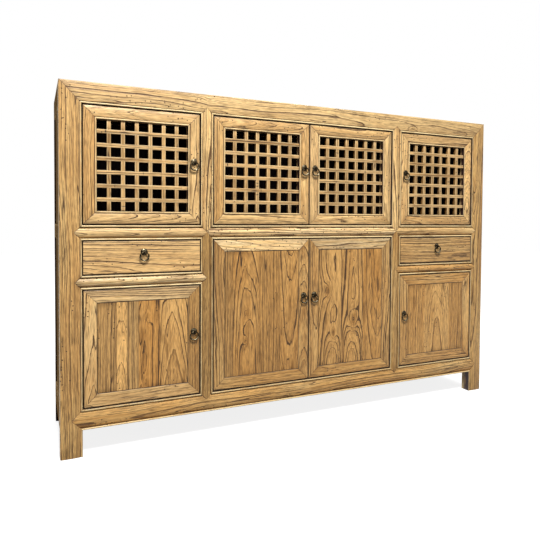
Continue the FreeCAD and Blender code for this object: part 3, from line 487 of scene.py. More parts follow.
    # Age: smudges that gather at joints, and insect holes in clusters
    smudge = step(noise((8, 34, 34), 3, 19.0), 0.59, 0.70)
    corner = times(step(from_joint, 0.0, 0.018, 0.9, 0.0), step(cloud, 0.45, 0.6))
    smudge = times(plus(smudge, corner), given["Age"], clamp=True)
    wood = mixed(smudge, wood, tinted(wood, (0.46, 0.41, 0.33)))
    cells = add_node(tree, "ShaderNodeTexVoronoi", {"Vector": grain, "Scale": 70.0, "Randomness": 1.0},
                     voronoi_dimensions="2D").outputs
    picked = step(add_node(tree, "ShaderNodeSeparateColor", {0: cells["Color"]}).outputs[0], 0.50, 0.52)
    wormy = plus(noise((6, 22, 22), 1, 43.0), times(light, 0.5))
    picked = times(picked, step(wormy, 0.555, 0.585))
    hole = times(step(cells["Distance"], 0.09, 0.16, 1.0, 0.0), picked)
    wood = mixed(times(hole, 0.9), wood, (0.035, 0.016, 0.006, 1))

    # Wear, dirt and painted light: rubbed arrises and beads with painted
    # highlight, dark joints, grooves with dirt and painted shade, and gaps and
    # inside faces painted near black as painted shade
    rub = noise((25, 60, 60), 2, 31.0)
    # Rubbed arrises and bead crests, paled nearly to white: wear and painted highlight.
    arris = times(step(from_edge, 0.001, 0.0050, 1.0, 0.0), step(rub, 0.36, 0.60, 0.25, 0.85))
    crest = times(dirt_and_painted_light, -1.0, clamp=True)
    arris = highest(arris, times(crest, step(rub, 0.30, 0.55, 0.55, 1.0)))
    wood = mixed(arris, wood, tinted(given["Pale"], (1.18, 1.34, 1.6)))
    seam = times(step(from_joint, 0.0002, 0.0014, 1.0, 0.0), step(rub, 0.36, 0.60, 0.12, 0.85))
    # Grooves darkened by dirt and painted shade.
    groove = times(dirt_and_painted_light, step(rub, 0.3, 0.6, 0.55, 0.95), clamp=True)
    wood = mixed(highest(seam, groove), wood, (0.050, 0.019, 0.016, 1))
    # Gap walls and inside faces painted near black: painted shade.
    wood = mixed(step(dirt_and_painted_light, 1.2, 1.8), wood, (0.018, 0.007, 0.007, 1))

    rough = plus(times(line, 0.16), times(smudge, 0.10))
    rough = plus(rough, times(fibre, 0.12))
    rough = less(plus(rough, 0.36), times(arris, 0.08))
    relief = less(times(fibre, 0.35), times(line, 0.55))
    relief = less(relief, plus(times(pores, 0.4), hole))
    add_node(tree, "NodeGroupOutput", {"Colour": wood, "Roughness": rough, "Height": relief})
    return tree


elm = elm_figure()


def new_material(name):
    """A material, its node tree and its Principled shader."""
    material = bpy.data.materials.new(name)
    material.use_nodes = True
    tree = material.node_tree
    return material, tree, tree.nodes["Principled BSDF"]


def embossed(tree, shader, height, strength, distance):
    """Fine relief on a shader, from a height."""
    relief = {"Height": height, "Strength": strength, "Distance": distance}
    bump = add_node(tree, "ShaderNodeBump", relief)
    tree.links.new(bump.outputs[0], shader.inputs["Normal"])


def elm_finish(name, pale, brown, dark, ring_width, age, gloss=0.35):
    """A waxed elm surface that reads its timbers' log coordinates."""
    material, tree, shader = new_material(name)
    figure = add_node(tree, "ShaderNodeGroup", node_tree=elm)
    for label in ("Grain", "Tone", "Wear_dirt_and_light"):
        source = add_node(tree, "ShaderNodeAttribute", attribute_name=label.lower())
        tree.links.new(source.outputs["Vector"], figure.inputs[label])
    for label, shade in (("Pale", pale), ("Brown", brown), ("Dark", dark)):
        figure.inputs[label].default_value = (*shade, 1)
    figure.inputs["Ring width"].default_value = ring_width
    figure.inputs["Age"].default_value = age
    tree.links.new(figure.outputs["Colour"], shader.inputs["Base Color"])
    tree.links.new(figure.outputs["Roughness"], shader.inputs["Roughness"])
    embossed(tree, shader, figure.outputs["Height"], 0.75, 0.0014)
    shader.inputs["Specular IOR Level"].default_value = gloss
    return material


frame_elm = elm_finish("frame_elm", (0.76, 0.517, 0.222), (0.44, 0.228, 0.075), (0.075, 0.034, 0.011),
                       0.0068, 0.5)


def upright(edge, way, face):
    """Places for an upright timber with one edge at X = edge, which grows
    towards +X or, with way = -1, towards -X."""
    return lambda across, along, deep: np.stack([edge + way * across, face + deep, along], axis=-1)


def lying(edge, face, way=1):
    """Places for a level timber with one edge at Z = edge, which grows upwards
    or, with way = -1, downwards."""
    return lambda across, along, deep: np.stack([along, face + deep, edge + way * across], axis=-1)


post_width = bay_low + end_face
post_levels = [(leg_height, low_start), (low_end, drawer_start), (drawer_end, upper_start)]
post_spans, foot = [], ([0, post_width], [0, 0])
for low, high in post_levels:
    tip = post_width - (high - low) / 2
    middle = (low + high) / 2
    post_spans.append((foot, ([0, tip, post_width], [middle, middle, low])))
    foot = ([0, tip, post_width], [middle, middle, high])
post_spans.append((foot, ([0, post_width], [height, upper_end])))
post_breaks = [post_width - (high - low) / 2 for low, high in post_levels]
post_section = face_section(post_width, "round", "bead", post_crown, upright_quirk, post_breaks)
post_cuts = {
    "left_front_post": log_cut("left post", pith=0.03, side=-0.06, tilt=0.012, light=-0.13,
                               fall=0.14, warm=0.4, line=0.7, foot=-0.541),
    "right_front_post": log_cut("right post", pith=0.05, side=0.03, tilt=-0.02, light=-0.20,
                                fall=0.06, warm=0.3, line=1.0, foot=-0.541),
}
for name, edge, way in (("left_front_post", -end_face, 1), ("right_front_post", end_face, -1)):
    timber = moulded(name, post_section, frame_depth, post_spans, upright(edge, way, front),
                     post_cuts[name], free=[(0, 0)])
    built(f"{name}_wood", "carcass", "elm_frame", frame_elm, [timber], name)

# Top and bottom rails: the two long elm rails of the front frame.  The top
# one is mitred to the posts, the bottom one ends in points let into them.
mullion_half = (centre_low - bay_high) / 2
top_width, bottom_width = height - upper_end, low_start - leg_height


def rail_spans(width, ends, edge_row, tip_row):
    """Three spans of a long rail, parted where the mullions' points enter.
    edge_row is the moulded edge that they enter, tip_row how far they reach."""
    rows = np.array([edge_row, tip_row, width - edge_row])
    order = np.argsort(rows)
    marks = [(rows[order], np.array([middle + half, middle, middle])[order])
             for middle in (mullion_middle, -mullion_middle) for half in (-mullion_half, mullion_half)]
    return [(ends[0], marks[0]), (marks[1], marks[2]), (marks[3], ends[1])]


top_ends = (([0, top_width], [bay_low, -end_face]), ([0, top_width], [-bay_low, end_face]))
top_spans = rail_spans(top_width, top_ends, 0, mullion_half)
top_section = face_section(top_width, "bead", "round", post_crown, rail_quirk, [mullion_half])
top_cut = log_cut("top rail", pith=0.055, side=-0.028, tilt=0.02, light=-0.06, fall=-0.15, warm=-0.3,
                  line=1.0, rub=0.03, knots=((0.44, -0.016, 0.012), (-0.36, 0.01, 0.01)))
timber = moulded("top rail", top_section, frame_depth, top_spans, lying(upper_end, front), top_cut)
built("top_front_rail_wood", "carcass", "elm_frame", frame_elm, [timber], "top_front_rail")

bottom_half = bottom_width / 2
bottom_ends = (([0, bottom_half, bottom_width], [bay_low, bay_low - bottom_half, bay_low]),
               ([0, bottom_half, bottom_width], [-bay_low, bottom_half - bay_low, -bay_low]))
bottom_spans = rail_spans(bottom_width, bottom_ends, bottom_width, bottom_width - mullion_half)
bottom_section = face_section(bottom_width, "bead", "bead", 0.8 * rail_crown, rail_quirk,
                              [bottom_half, bottom_width - mullion_half])
bottom_cut = log_cut("bottom rail", pith=0.04, side=-0.045, tilt=-0.014, light=-0.08, warm=0.9,
                     line=0.75, rub=0.04)
timber = moulded("bottom rail", bottom_section, frame_depth, bottom_spans, lying(leg_height, front),
                 bottom_cut)
built("bottom_front_rail_wood", "carcass", "elm_frame", frame_elm, [timber], "bottom_front_rail")

# Mullions: the two elm uprights between the doors, each in a lower and an
# upper length whose points meet the middle rails' points in a cross.
mullion_width = centre_low - bay_high
crossing = (drawer_end + upper_start) / 2
rows = [0, mullion_half, mullion_width]
drawer_middle = (low_end + drawer_start) / 2
lower_spans = [
    ((rows, [low_start, low_start - mullion_half, low_start]),
     (rows, [low_end, drawer_middle, drawer_middle])),
    ((rows, [drawer_start, drawer_middle, drawer_middle]), (rows, [drawer_end, crossing, drawer_end])),
]
upper_spans = [((rows, [upper_start, crossing, upper_start]),
                (rows, [upper_end, upper_end + mullion_half, upper_end]))]
mullion_section = face_section(mullion_width, "bead", "bead", 0.55 * rail_crown, upright_quirk,
                               [mullion_half])
for side, edge, way, low_light in (("left", bay_high, 1, -0.44), ("right", -bay_high, -1, -0.30)):
    timbers = []
    for tier, spans, off, pith, light in (("lower", lower_spans, 0.06, 0.03, low_light),
                                          ("upper", upper_spans, 0.05, 0.04, 0.13)):
        name = f"{side} {tier} mullion"
        timbers.append(moulded(name, mullion_section, frame_depth, spans, upright(edge, way, front),
                               log_cut(name, side=off, pith=pith, light=light, warm=0.3)))
    built(f"{side}_mullion_wood", "carcass", "elm_frame", frame_elm, timbers, f"{side}_mullion")

# Middle and drawer rails: short elm rails with a strongly rounded face
# between two beads.  Their points are let into the posts and the mullions.
def short_rail(name, low, high, first, last, light, warm):
    """A rounded rail between two heights.  first and last give where its edges
    and its point end, light and warm its colouring."""
    half = (high - low) / 2
    rows = [0, half, 2 * half]
    spans = [tuple((rows, [edge, tip, edge]) for edge, tip in (first, last))]
    section = face_section(high - low, "bead", "bead", rail_crown, rail_quirk, [half])
    cut = log_cut(name, tilt=0.0, light=light, line=0.8, warm=warm, rub=0.18)
    return moulded(name, section, frame_depth, spans, lying(low, front), cut)


mid_half = (upper_start - drawer_end) / 2
drawer_half = (drawer_start - low_end) / 2
mid_rails = (
    ("left mid rail", (bay_low, bay_low - mid_half), (bay_high, mullion_middle), 0.05, -0.2),
    ("centre mid rail", (centre_low, mullion_middle), (-centre_low, -mullion_middle), 0.45, -1.0),
    ("right mid rail", (-bay_high, -mullion_middle), (-bay_low, mid_half - bay_low), 0.03, 0.2),
)
drawer_rails = (
    ("left drawer rail", (bay_low, bay_low - drawer_half), (bay_high, bay_high + drawer_half),
     0.12, -0.9),
    ("right drawer rail", (-bay_high, -bay_high - drawer_half), (-bay_low, drawer_half - bay_low),
     -0.04, 0.8),
)
for node, low, high, rails in (("mid_rails", drawer_end, upper_start, mid_rails),
                               ("drawer_rails", low_end, drawer_start, drawer_rails)):
    timbers = [short_rail(name, low, high, *ends_and_colour) for name, *ends_and_colour in rails]
    built(f"{node}_wood", "carcass", "elm_frame", frame_elm, timbers, node)

# Rear posts, end rails and back rails: plain squared elm behind the front
# frame, with softened arrises.  The end rails run front to back.  They take a
# darker copy of the elm, painted shade on the ends and back, and their faces
# toward the inside are painted near black as painted shade.
plank_step, plank_band, plank_arris = 0.03, 0.004, 0.0012
mark_steps = np.array([-0.002, -0.0006, 0, 0.0006, 0.002])
side_shade, depth_shade = 0.24, 0.26
front_spared, side_spared = 0.0012, 0.004
band_shade, band_shade_fade = 0.34, 0.26


def tube_faces(rows, count):
    """The faces between rows of points that each close round, and the faces
    that fill one such row across."""
    grid = np.arange(rows * count).reshape(rows, count)
    rolled = np.roll(grid, -1, axis=1)
    walls = np.stack([grid[:-1], rolled[:-1], rolled[1:], grid[1:]], axis=-1).reshape(-1, 4)
    pairs = np.arange(count // 2 - 1)
    cap = np.stack([pairs, count - 1 - pairs, count - 2 - pairs, pairs + 1], axis=-1)
    return walls, cap


def plank(name, low, high, axis, arris=plank_arris, inside=None, marks=()):
    """A squared timber: a rectangle with rounded corners carried along its
    length, drawn in at the ends by the same radius.  inside names the side
    ("x-", "y-" and so on) that faces the inside of the cabinet, painted near
    black as painted shade, and marks are the places along it where the edge of
    another timber crosses; a timber with marks has its sides darkened as painted
    shade."""
    low, high = np.array(low, float), np.array(high, float)
    others = [number for number in range(3) if number != axis]
    thin = min(others, key=lambda number: high[number] - low[number])
    wide = next(number for number in others if number != thin)
    half = (high - low) / 2
    middle = (high + low) / 2
    swing = np.linspace(0, np.pi / 2, 4)
    ring = []
    for corner in range(4):
        sign_wide, sign_thin = ((1, 1), (-1, 1), (-1, -1), (1, -1))[corner]
        turn = swing if corner % 2 == 0 else swing[::-1]
        for angle in turn:
            ring.append((sign_wide * (half[wide] - arris * (1 - np.cos(angle))),
                         sign_thin * (half[thin] - arris * (1 - np.sin(angle))), 0.0))
        spread = half[wide] if corner % 2 == 0 else half[thin]
        reach = max(spread - arris - plank_band, spread * 0.2)
        for share in (1, -1):
            if corner % 2 == 0:
                ring.append((sign_wide * share * reach, sign_thin * half[thin], plank_band))
            else:
                ring.append((sign_wide * half[wide], sign_thin * share * reach, plank_band))
    ring = np.array(ring)
    length = 2 * half[axis]
    steps = max(3, int(length / plank_step))
    along = np.concatenate([[0, 0.3 * arris, arris], np.linspace(0, length, steps)[1:-1],
                            [length - arris, length - 0.3 * arris, length]]) - length / 2
    marks = np.array(marks, float) - middle[axis]
    if len(marks):
        near_marks = (marks[:, None] + mark_steps).ravel()
        along = np.unique(np.concatenate([along[[0, 1, 2, -3, -2, -1]], near_marks]))
    inset = np.zeros(len(along))
    inset[[0, -1]], inset[[1, -2]] = arris, 0.3 * arris
    count = len(ring)
    places = np.zeros((len(along), count, 3))
    for number, column in ((wide, 0), (thin, 1)):
        offsets = ring[None, :, column] * (1 - inset[:, None] / half[number])
        places[:, :, number] = middle[number] + offsets
    places[:, :, axis] = middle[axis] + along[:, None]
    walls, cap = tube_faces(len(along), count)
    faces = np.concatenate([walls, cap, cap[:, ::-1] + (len(along) - 1) * count])
    flat = places.reshape(-1, 3)
    offset = flat - middle
    grain, tone = in_the_log(log_cut(name), offset[:, axis], offset[:, wide],
                             half[thin] - offset[:, thin])
    from_end = length / 2 - np.abs(offset[:, axis])
    near = np.minimum(np.tile(ring[:, 2], len(along)), 1.0 if len(marks) else from_end)
    painted_light_and_dirt = np.zeros(len(flat))
    if inside:
        # Painted shade: the face toward the inside is painted near black.
        number = "xyz".index(inside[0])
        painted_light_and_dirt = 2.0 * (offset[:, number] * (1 if inside[1] == "+" else -1) > half[number] - 0.6 * arris)
    from_joint = np.maximum(from_end, 0.0006)
    if len(marks):
        from_joint = np.abs(offset[:, axis, None] - marks[None]).min(axis=1) + 0.0007
        sunk = np.clip((offset[:, 1] + half[1] - 0.5 * arris) / (2 * half[1]), 0, 1)
        tone[:, 0] -= side_shade * (sunk > 0) + depth_shade * sunk
        near = near + front_spared + side_spared * (sunk > 0)
        from_face = (offset[:, 1] + half[1]) / arris
        # Painted shade: a dark band on the sides just behind the front edge, fainter deeper in.
        painted_light_and_dirt = band_shade * np.clip(from_face / 0.3, 0, 1) - band_shade_fade * np.clip(from_face - 1, 0, 1)
    wear_dirt_and_light = np.stack([from_joint, near, painted_light_and_dirt], axis=1)
    return flat, outwards(flat, faces), grain, tone, wear_dirt_and_light


rear_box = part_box("rear_posts")
inside_rear, rear = rear_box[0].y, rear_box[1].y
end_rail_thickness = 0.03
end_inside = end_face - end_rail_thickness
# A darker copy of the frame elm: painted shade on the ends and back.
shaded_end_elm = elm_finish("shaded_end_elm", (0.52, 0.32, 0.135), (0.30, 0.165, 0.060), (0.055, 0.027, 0.011),
                     0.0068, 0.8, gloss=0.0)
rail_tiers = (("low", leg_height, low_start), ("mid", drawer_end, upper_start), ("top", upper_end, height))
timbers = {"rear_posts": [], "end_rails": [], "top_end_and_back_rails": [], "back_rails": []}
for side, way in (("left", -1), ("right", 1)):
    outer, inner = way * end_face, way * end_inside
    x_low, x_high = sorted((outer, inner))
    post_low, post_high = sorted((outer, way * -bay_low))
    inside = "x+" if way < 0 else "x-"
    timbers["rear_posts"].append(plank(f"{side} rear post", (post_low, inside_rear, 0),
                                       (post_high, rear, height), 2, inside="y-"))
    for tier, low, high in rail_tiers:
        node = "top_end_and_back_rails" if tier == "top" else "end_rails"
        timbers[node].append(plank(f"{side} {tier} end rail", (x_low, frame_back, low),
                                   (x_high, inside_rear, high), 1, inside=inside))
for tier, low, high in rail_tiers:
    node = "top_end_and_back_rails" if tier == "top" else "back_rails"
    timbers[node].append(plank(f"{tier} back rail", (bay_low, inside_rear, low), (-bay_low, rear, high),
                               0, inside="y-"))
for node, parts in timbers.items():
    built(f"{node}_wood", "carcass", "elm_frame", shaded_end_elm, parts, node)

# End panels, back boards and top panel: sawn elm boards let into the rails.
# Their inner faces are painted near black as painted shade, and the end
# panels take the darker elm that paints shade on the ends.
panel_elm = elm_finish("panel_elm", (0.69, 0.40, 0.137), (0.39, 0.197, 0.053), (0.058, 0.025, 0.008),
                       0.0072, 0.65)
board_elm = elm_finish("board_elm", (0.52, 0.34, 0.16), (0.34, 0.19, 0.075), (0.07, 0.036, 0.016),
                       0.0066, 0.8, gloss=0.08)
panel_box, back_box, top_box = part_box("end_panels"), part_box("back_boards"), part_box("top_panel")
tiers = (("low", low_start, drawer_end), ("upper", upper_start, upper_end))
end_panel_thickness = 0.012
parts = []
for side, way in (("left", -1), ("right", 1)):
    outer = way * panel_box[1].x
    x_low, x_high = sorted((outer, outer - way * end_panel_thickness))
    for tier, low, high in tiers:
        parts.append(plank(f"{side} {tier} end panel", (x_low, frame_back, low),
                           (x_high, inside_rear, high), 2, inside="x+" if way < 0 else "x-"))
built("end_panels_wood", "carcass", "elm_panels", shaded_end_elm, parts, "end_panels")
back_board_count = 8
board_tongue = 0.004
parts = []
for tier, low, high in tiers:
    edges = np.linspace(back_box[0].x, back_box[1].x, back_board_count + 1)
    for number, (x_low, x_high) in enumerate(zip(edges, edges[1:])):
        parts.append(plank(f"{tier} back board {number}", (x_low, back_box[0].y, low - board_tongue),
                           (x_high, back_box[1].y, high + board_tongue), 2, inside="y-"))
built("back_boards_wood", "carcass", "elm_boards", board_elm, parts, "back_boards")
top_board_count = 3
panel_joint = 0.0009
edges = np.linspace(frame_back + panel_joint, inside_rear - panel_joint, top_board_count + 1)
parts = [plank(f"top board {number}", (panel_joint - end_inside, y_low, top_box[0].z),
               (end_inside - panel_joint, y_high, top_box[1].z), 0, inside="z-")
         for number, (y_low, y_high) in enumerate(zip(edges, edges[1:]))]
built("top_panel_wood", "carcass", "elm_panels", panel_elm, parts, "top_panel")

# Shelves, partitions, floor, runners and drawer boxes keep their frame
# nodes; their plain boards get the same elm, laid by the object's own places.
# Shelves, partitions, floor and runners take a near-black elm: painted shade
# inside the cabinet.
def inner_finish(name, axis, pale, brown, dark):
    """Elm for squared boards, with the log along one axis of the cabinet."""
    material = elm_finish(name, pale, brown, dark, 0.0065, 0.8, gloss=0.15)
    tree = material.node_tree
    figure = next(node for node in tree.nodes if node.type == "GROUP")
    split = parts_of(tree, add_node(tree, "ShaderNodeTexCoord").outputs["Object"])
    order = {"x": (0, 1, 2), "y": (1, 0, 2), "z": (2, 0, 1)}[axis]
    laid = add_node(tree, "ShaderNodeCombineXYZ", enumerate(split[source] for source in order)).outputs[0]
    tree.links.new(vector_maths(tree, "ADD", laid, (3.0, 0.04, 0.07)), figure.inputs["Grain"])
    for label, vector in (("Tone", (0, 0.3, 0.7)), ("Wear_dirt_and_light", (1, 1, 0))):
        tree.links.remove(figure.inputs[label].links[0])
        figure.inputs[label].default_value = vector
    return material


def repaint(node, material):
    """A frame node that stays, in a new material."""
    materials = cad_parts[node].data.materials
    materials.clear()
    materials.append(material)


# Near-black elm for the cabinet's inside: painted shade.
inside_shade_pale, inside_shade_brown, inside_shade_dark = (0.050, 0.026, 0.014), (0.030, 0.015, 0.008), (0.012, 0.006, 0.004)
shaded_length = inner_finish("shaded_elm_length", "x", inside_shade_pale, inside_shade_brown, inside_shade_dark)
shaded_upright = inner_finish("shaded_elm_upright", "z", inside_shade_pale, inside_shade_brown, inside_shade_dark)
drawer_elm = inner_finish("drawer_elm", "y", (0.60, 0.39, 0.18), (0.40, 0.22, 0.085), (0.11, 0.055, 0.022))
for node, material in (("shelves", shaded_length), ("floor_boards", shaded_length),
                       ("partitions", shaded_upright), ("drawer_runners", shaded_length),
                       ("left_drawer_box", drawer_elm), ("right_drawer_box", drawer_elm)):
    repaint(node, material)

# Door frames: four mitred elm members each.  The lattice doors have a
# rounded face and a bead round the lattice, the panel doors a flat face.
door_elm = elm_finish("door_elm", (0.75, 0.495, 0.210), (0.44, 0.226, 0.071), (0.066, 0.030, 0.010),
                      0.0066, 0.45)
stile_width = 0.038
door_crown = 0.002
door_thickness = 0.022
lattice_doors = ["upper_left_door", "upper_centre_left_door", "upper_centre_right_door", "upper_right_door"]
panel_doors = ["lower_left_door", "lower_centre_left_door", "lower_centre_right_door", "lower_right_door"]
door_cuts = {
    "lower_left_door top rail": dict(light=0.03, warm=-0.6),
    "lower_left_door bottom rail": dict(light=0.04, warm=0.0),
    "lower_centre_left_door top rail": dict(light=0.30, warm=-1.0, line=0.8),
    "upper_centre_left_door left stile": dict(light=-0.12, warm=0.4),
    "upper_centre_right_door right stile": dict(light=0.02, warm=-0.2),
    "lower_right_door right stile": dict(light=-0.06, warm=0.8),
    "lower_right_door bottom rail": dict(light=-0.06, warm=0.6),
    "lower_right_door top rail": dict(light=-0.12, warm=0.8),
    "lower_left_door right stile": dict(light=-0.36, warm=1.0, line=0.5, pith=0.09, side=0.07),
    "lower_left_door left stile": dict(light=0.04, warm=0.3, pith=0.05, side=0.005, tilt=0.05),
    "upper_right_door right stile": dict(light=0.28, pith=0.03, side=0.0, tilt=0.22, line=1.5),
    "upper_left_door bottom rail": dict(light=-0.02, pith=0.04, side=0.01, tilt=0.05, line=0.9),
    "upper_left_door right stile": dict(light=0.03),
    "upper_centre_left_door top rail": dict(pith=0.04, side=-0.01, tilt=0.09, line=1.0),
    "lower_centre_left_door left stile": dict(light=-0.28, warm=0.2, line=1.2),
    "lower_centre_left_door right stile": dict(light=-0.22, warm=0.3, pith=0.04, side=0.0, tilt=0.10,
                                               line=1.2),
    "lower_centre_left_door bottom rail": dict(light=-0.20, warm=0.6),
    "lower_centre_right_door left stile": dict(light=-0.20, warm=0.3, line=1.2),
    "lower_centre_right_door right stile": dict(light=-0.20, warm=0.4, line=1.2),
    "lower_centre_right_door bottom rail": dict(light=-0.18, warm=0.8),
    "lower_centre_right_door top rail": dict(light=-0.04, warm=-1.0),
    "lower_right_door left stile": dict(light=-0.08, warm=0.6),
}
for door in lattice_doors + panel_doors:
    (x_low, face, z_low), (x_high, _, z_high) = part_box(f"{door}_frame")
    wide, tall = x_high - x_low, z_high - z_low
    if door in lattice_doors:
        section = face_section(stile_width, "gap", "bead", door_crown, 0.6 * rail_quirk)
    else:
        section = face_section(stile_width, "gap", "gap", 0.0)
    rows = [0, stile_width]
    timbers = []
    for member, edge, length, start in (
            ("left stile", upright(x_low, 1, face), tall, z_low),
            ("right stile", upright(x_high, -1, face), tall, z_low),
            ("bottom rail", lying(z_low, face), wide, x_low),
            ("top rail", lying(z_high, face, -1), wide, x_low)):
        name = f"{door} {member}"
        stop = start + length
        spans = [((rows, [start, start + stile_width]), (rows, [stop, stop - stile_width]))]
        cut = log_cut(name, **door_cuts.get(name, {}))
        timbers.append(moulded(name, section, door_thickness, spans, edge, cut))
    built(f"{door}_frame_wood", door, "elm_doors", door_elm, timbers, f"{door}_frame")

# Lattices: six upright and six level elm bars in each upper door, halved into
# each other and let into the door frame behind its bead.
lattice_elm = elm_finish("lattice_elm", (0.64, 0.400, 0.165), (0.39, 0.218, 0.078), (0.07, 0.034, 0.012),
                         0.0060, 0.7)
bar_count = 6
bar_width = 0.0115
bar_proud = 0.0002
bar_arris = 0.0008
for door in lattice_doors:
    low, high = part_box(f"{door}_lattice")
    timbers = []
    counted = np.arange(bar_count)
    across = (high.x - low.x - bar_count * bar_width) / (bar_count + 1)
    apart = (high.z - low.z - bar_count * bar_width) / (bar_count + 1)
    x_starts = low.x + (counted + 1) * across + counted * bar_width
    z_starts = low.z + (counted + 1) * apart + counted * bar_width
    x_edges = np.concatenate([x_starts, x_starts + bar_width])
    z_edges = np.concatenate([z_starts, z_starts + bar_width])
    for number, (x_start, z_start) in enumerate(zip(x_starts, z_starts)):
        timbers.append(plank(f"{door} upright bar {number}", (x_start, low.y + bar_proud, low.z),
                             (x_start + bar_width, high.y, high.z), 2, arris=bar_arris, marks=z_edges))
        timbers.append(plank(f"{door} level bar {number}", (low.x, low.y, z_start),
                             (high.x, high.y - bar_proud, z_start + bar_width), 0,
                             arris=bar_arris, marks=x_edges))
    built(f"{door}_lattice_bars", door, "elm_lattice", lattice_elm, timbers, f"{door}_lattice")

# Door panels: upright boards glued edge to edge, flush with their frame and
# held by a tongue, with two battens across the back.
board_columns = ("share", "pith", "side", "tilt", "light", "warm", "line", "knots")
panel_boards = {
    "lower_left_door": (
        (0.20, 0.03, 0.07, 0.0, -0.10, -0.2, 0.9),
        (0.11, 0.04, 0.0, 0.05, 0.16, 0.0, 0.7),
        (0.13, 0.03, 0.09, 0.0, -0.22, -0.5, 0.8),
        (0.24, 0.05, -0.012, 0.05, -0.12, 0.7, 1.0, ((0.085, -0.005, 0.012), (-0.12, -0.012, 0.01))),
        (0.32, 0.09, -0.004, 0.085, 0.0, 0.2, 1.4),
    ),
    "lower_centre_left_door": (
        (0.10, 0.03, 0.08, 0.0, -0.28, -0.2, 0.8),
        (0.34, 0.045, 0.004, 0.06, -0.18, 0.3, 1.0, ((0.0, 0.004, 0.012), (-0.09, 0.0, 0.011))),
        (0.30, 0.03, 0.07, 0.012, -0.27, 0.0, 0.7),
        (0.26, 0.06, 0.006, -0.07, -0.20, 0.2, 1.1),
    ),
    "lower_centre_right_door": (
        (0.36, 0.05, 0.006, 0.04, -0.10, 0.0, 1.3, ((0.06, -0.012, 0.03), (-0.09, 0.012, 0.022))),
        (0.34, 0.04, 0.0, 0.075, -0.12, 0.2, 1.5, ((-0.05, 0.002, 0.034),)),
        (0.30, 0.05, 0.02, -0.04, -0.20, 0.6, 0.8),
    ),
    "lower_right_door": (
        (0.30, 0.04, 0.05, 0.02, -0.09, 0.3, 0.7),
        (0.45, 0.07, 0.0, 0.07, 0.02, 0.1, 0.9),
        (0.25, 0.03, 0.07, 0.01, -0.09, 0.2, 0.7),
    ),
}
panel_setback = 0.0006
board_step, board_margin, board_dip, board_spared = 0.005, 0.004, 0.0003, 0.01
board_arris = np.array([0, 0.0004, 0.0012])
batten_height, batten_depth, batten_inset = 0.03, 0.007, 0.06
for door in panel_doors:
    (x_low, face, z_low), (x_high, _, z_high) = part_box(f"{door}_frame")
    panel_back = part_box(f"{door}_panel")[1].y - batten_depth
    left, right_end = x_low + stile_width + panel_joint, x_high - stile_width - panel_joint
    low, high = z_low + stile_width + panel_joint, z_high - stile_width - panel_joint
    timbers, edge = [], left
    for number, row in enumerate(panel_boards[door]):
        chosen = dict(zip(board_columns, row))
        width = chosen.pop("share") * (right_end - left)
        body = np.linspace(board_margin, width - board_margin, max(4, int(width / board_step)))
        across = np.concatenate([board_arris, body, width - board_arris[::-1]])
        near = np.minimum(across, width - across)
        section = (across, board_dip * np.exp(-near / joint_groove_reach), np.zeros(len(across)),
                   (board_spared, board_spared))
        spans = [(([0, width], [low, low]), ([0, width], [high, high]))]
        name = f"{door} board {number}"
        timbers.append(moulded(name, section, panel_back - face - panel_setback, spans,
                               upright(edge, 1, face + panel_setback), log_cut(name, **chosen)))
        edge += width
    for place, start in (("low", low + batten_inset), ("high", high - batten_inset - batten_height)):
        timbers.append(plank(f"{door} {place} batten", (left, panel_back, start),
                             (right_end, panel_back + batten_depth, start + batten_height), 0))
    built(f"{door}_panel_boards", door, "elm_panels", panel_elm, timbers, f"{door}_panel")

# Drawer fronts: one plain elm board each, with its grain level and rounded
# arrises.  It closes the front of the drawer box, which keeps its frame node.
drawer_cuts = {
    "left_drawer": dict(pith=0.05, side=-0.05, tilt=0.035, light=0.12, warm=0.1, line=0.95),
    "right_drawer": dict(pith=0.03, side=0.075, tilt=0.01, light=-0.16, warm=0.2, line=0.9),
}
for drawer, chosen in drawer_cuts.items():
    (x_low, face, z_low), (x_high, back, z_high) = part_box(f"{drawer}_front")
    section = face_section(z_high - z_low, "gap", "gap", 0.0)
    rows = [0, z_high - z_low]
    spans = [((rows, [x_low, x_low]), (rows, [x_high, x_high]))]
    timber = moulded(f"{drawer} front", section, back - face, spans, lying(z_low, face),
                     log_cut(f"{drawer} front", **chosen), free=[(0, 0), (0, 1)])
    built(f"{drawer}_front_board", drawer, "elm_panels", door_elm, [timber], f"{drawer}_front")

# Ring pulls: a domed bronze backplate, an eye on a split shank whose two
# legs are clenched behind the wood, and a forged ring that hangs in the eye.
plate_radius, plate_rise = 0.0105, 0.003
ring_radius, ring_wire, ring_play = 0.013, 0.0021, 0.0003
eye_wire, eye_stand_off = 0.0014, 0.007
eye_radius = ring_wire + ring_play + eye_wire
shank_radius, leg_length, turn_radius, tip_share = 0.0014, 0.008, 0.002, 0.55
# Painted glint on the plate, partly rubbed wear: its strength, height above the eye and reach.
plate_rubbed, rubbed_above, rubbed_reach = 0.35, 0.006, 0.004
ring_mean, ring_swell = 1.12, 0.18
eye_points, ring_points = 28, 72


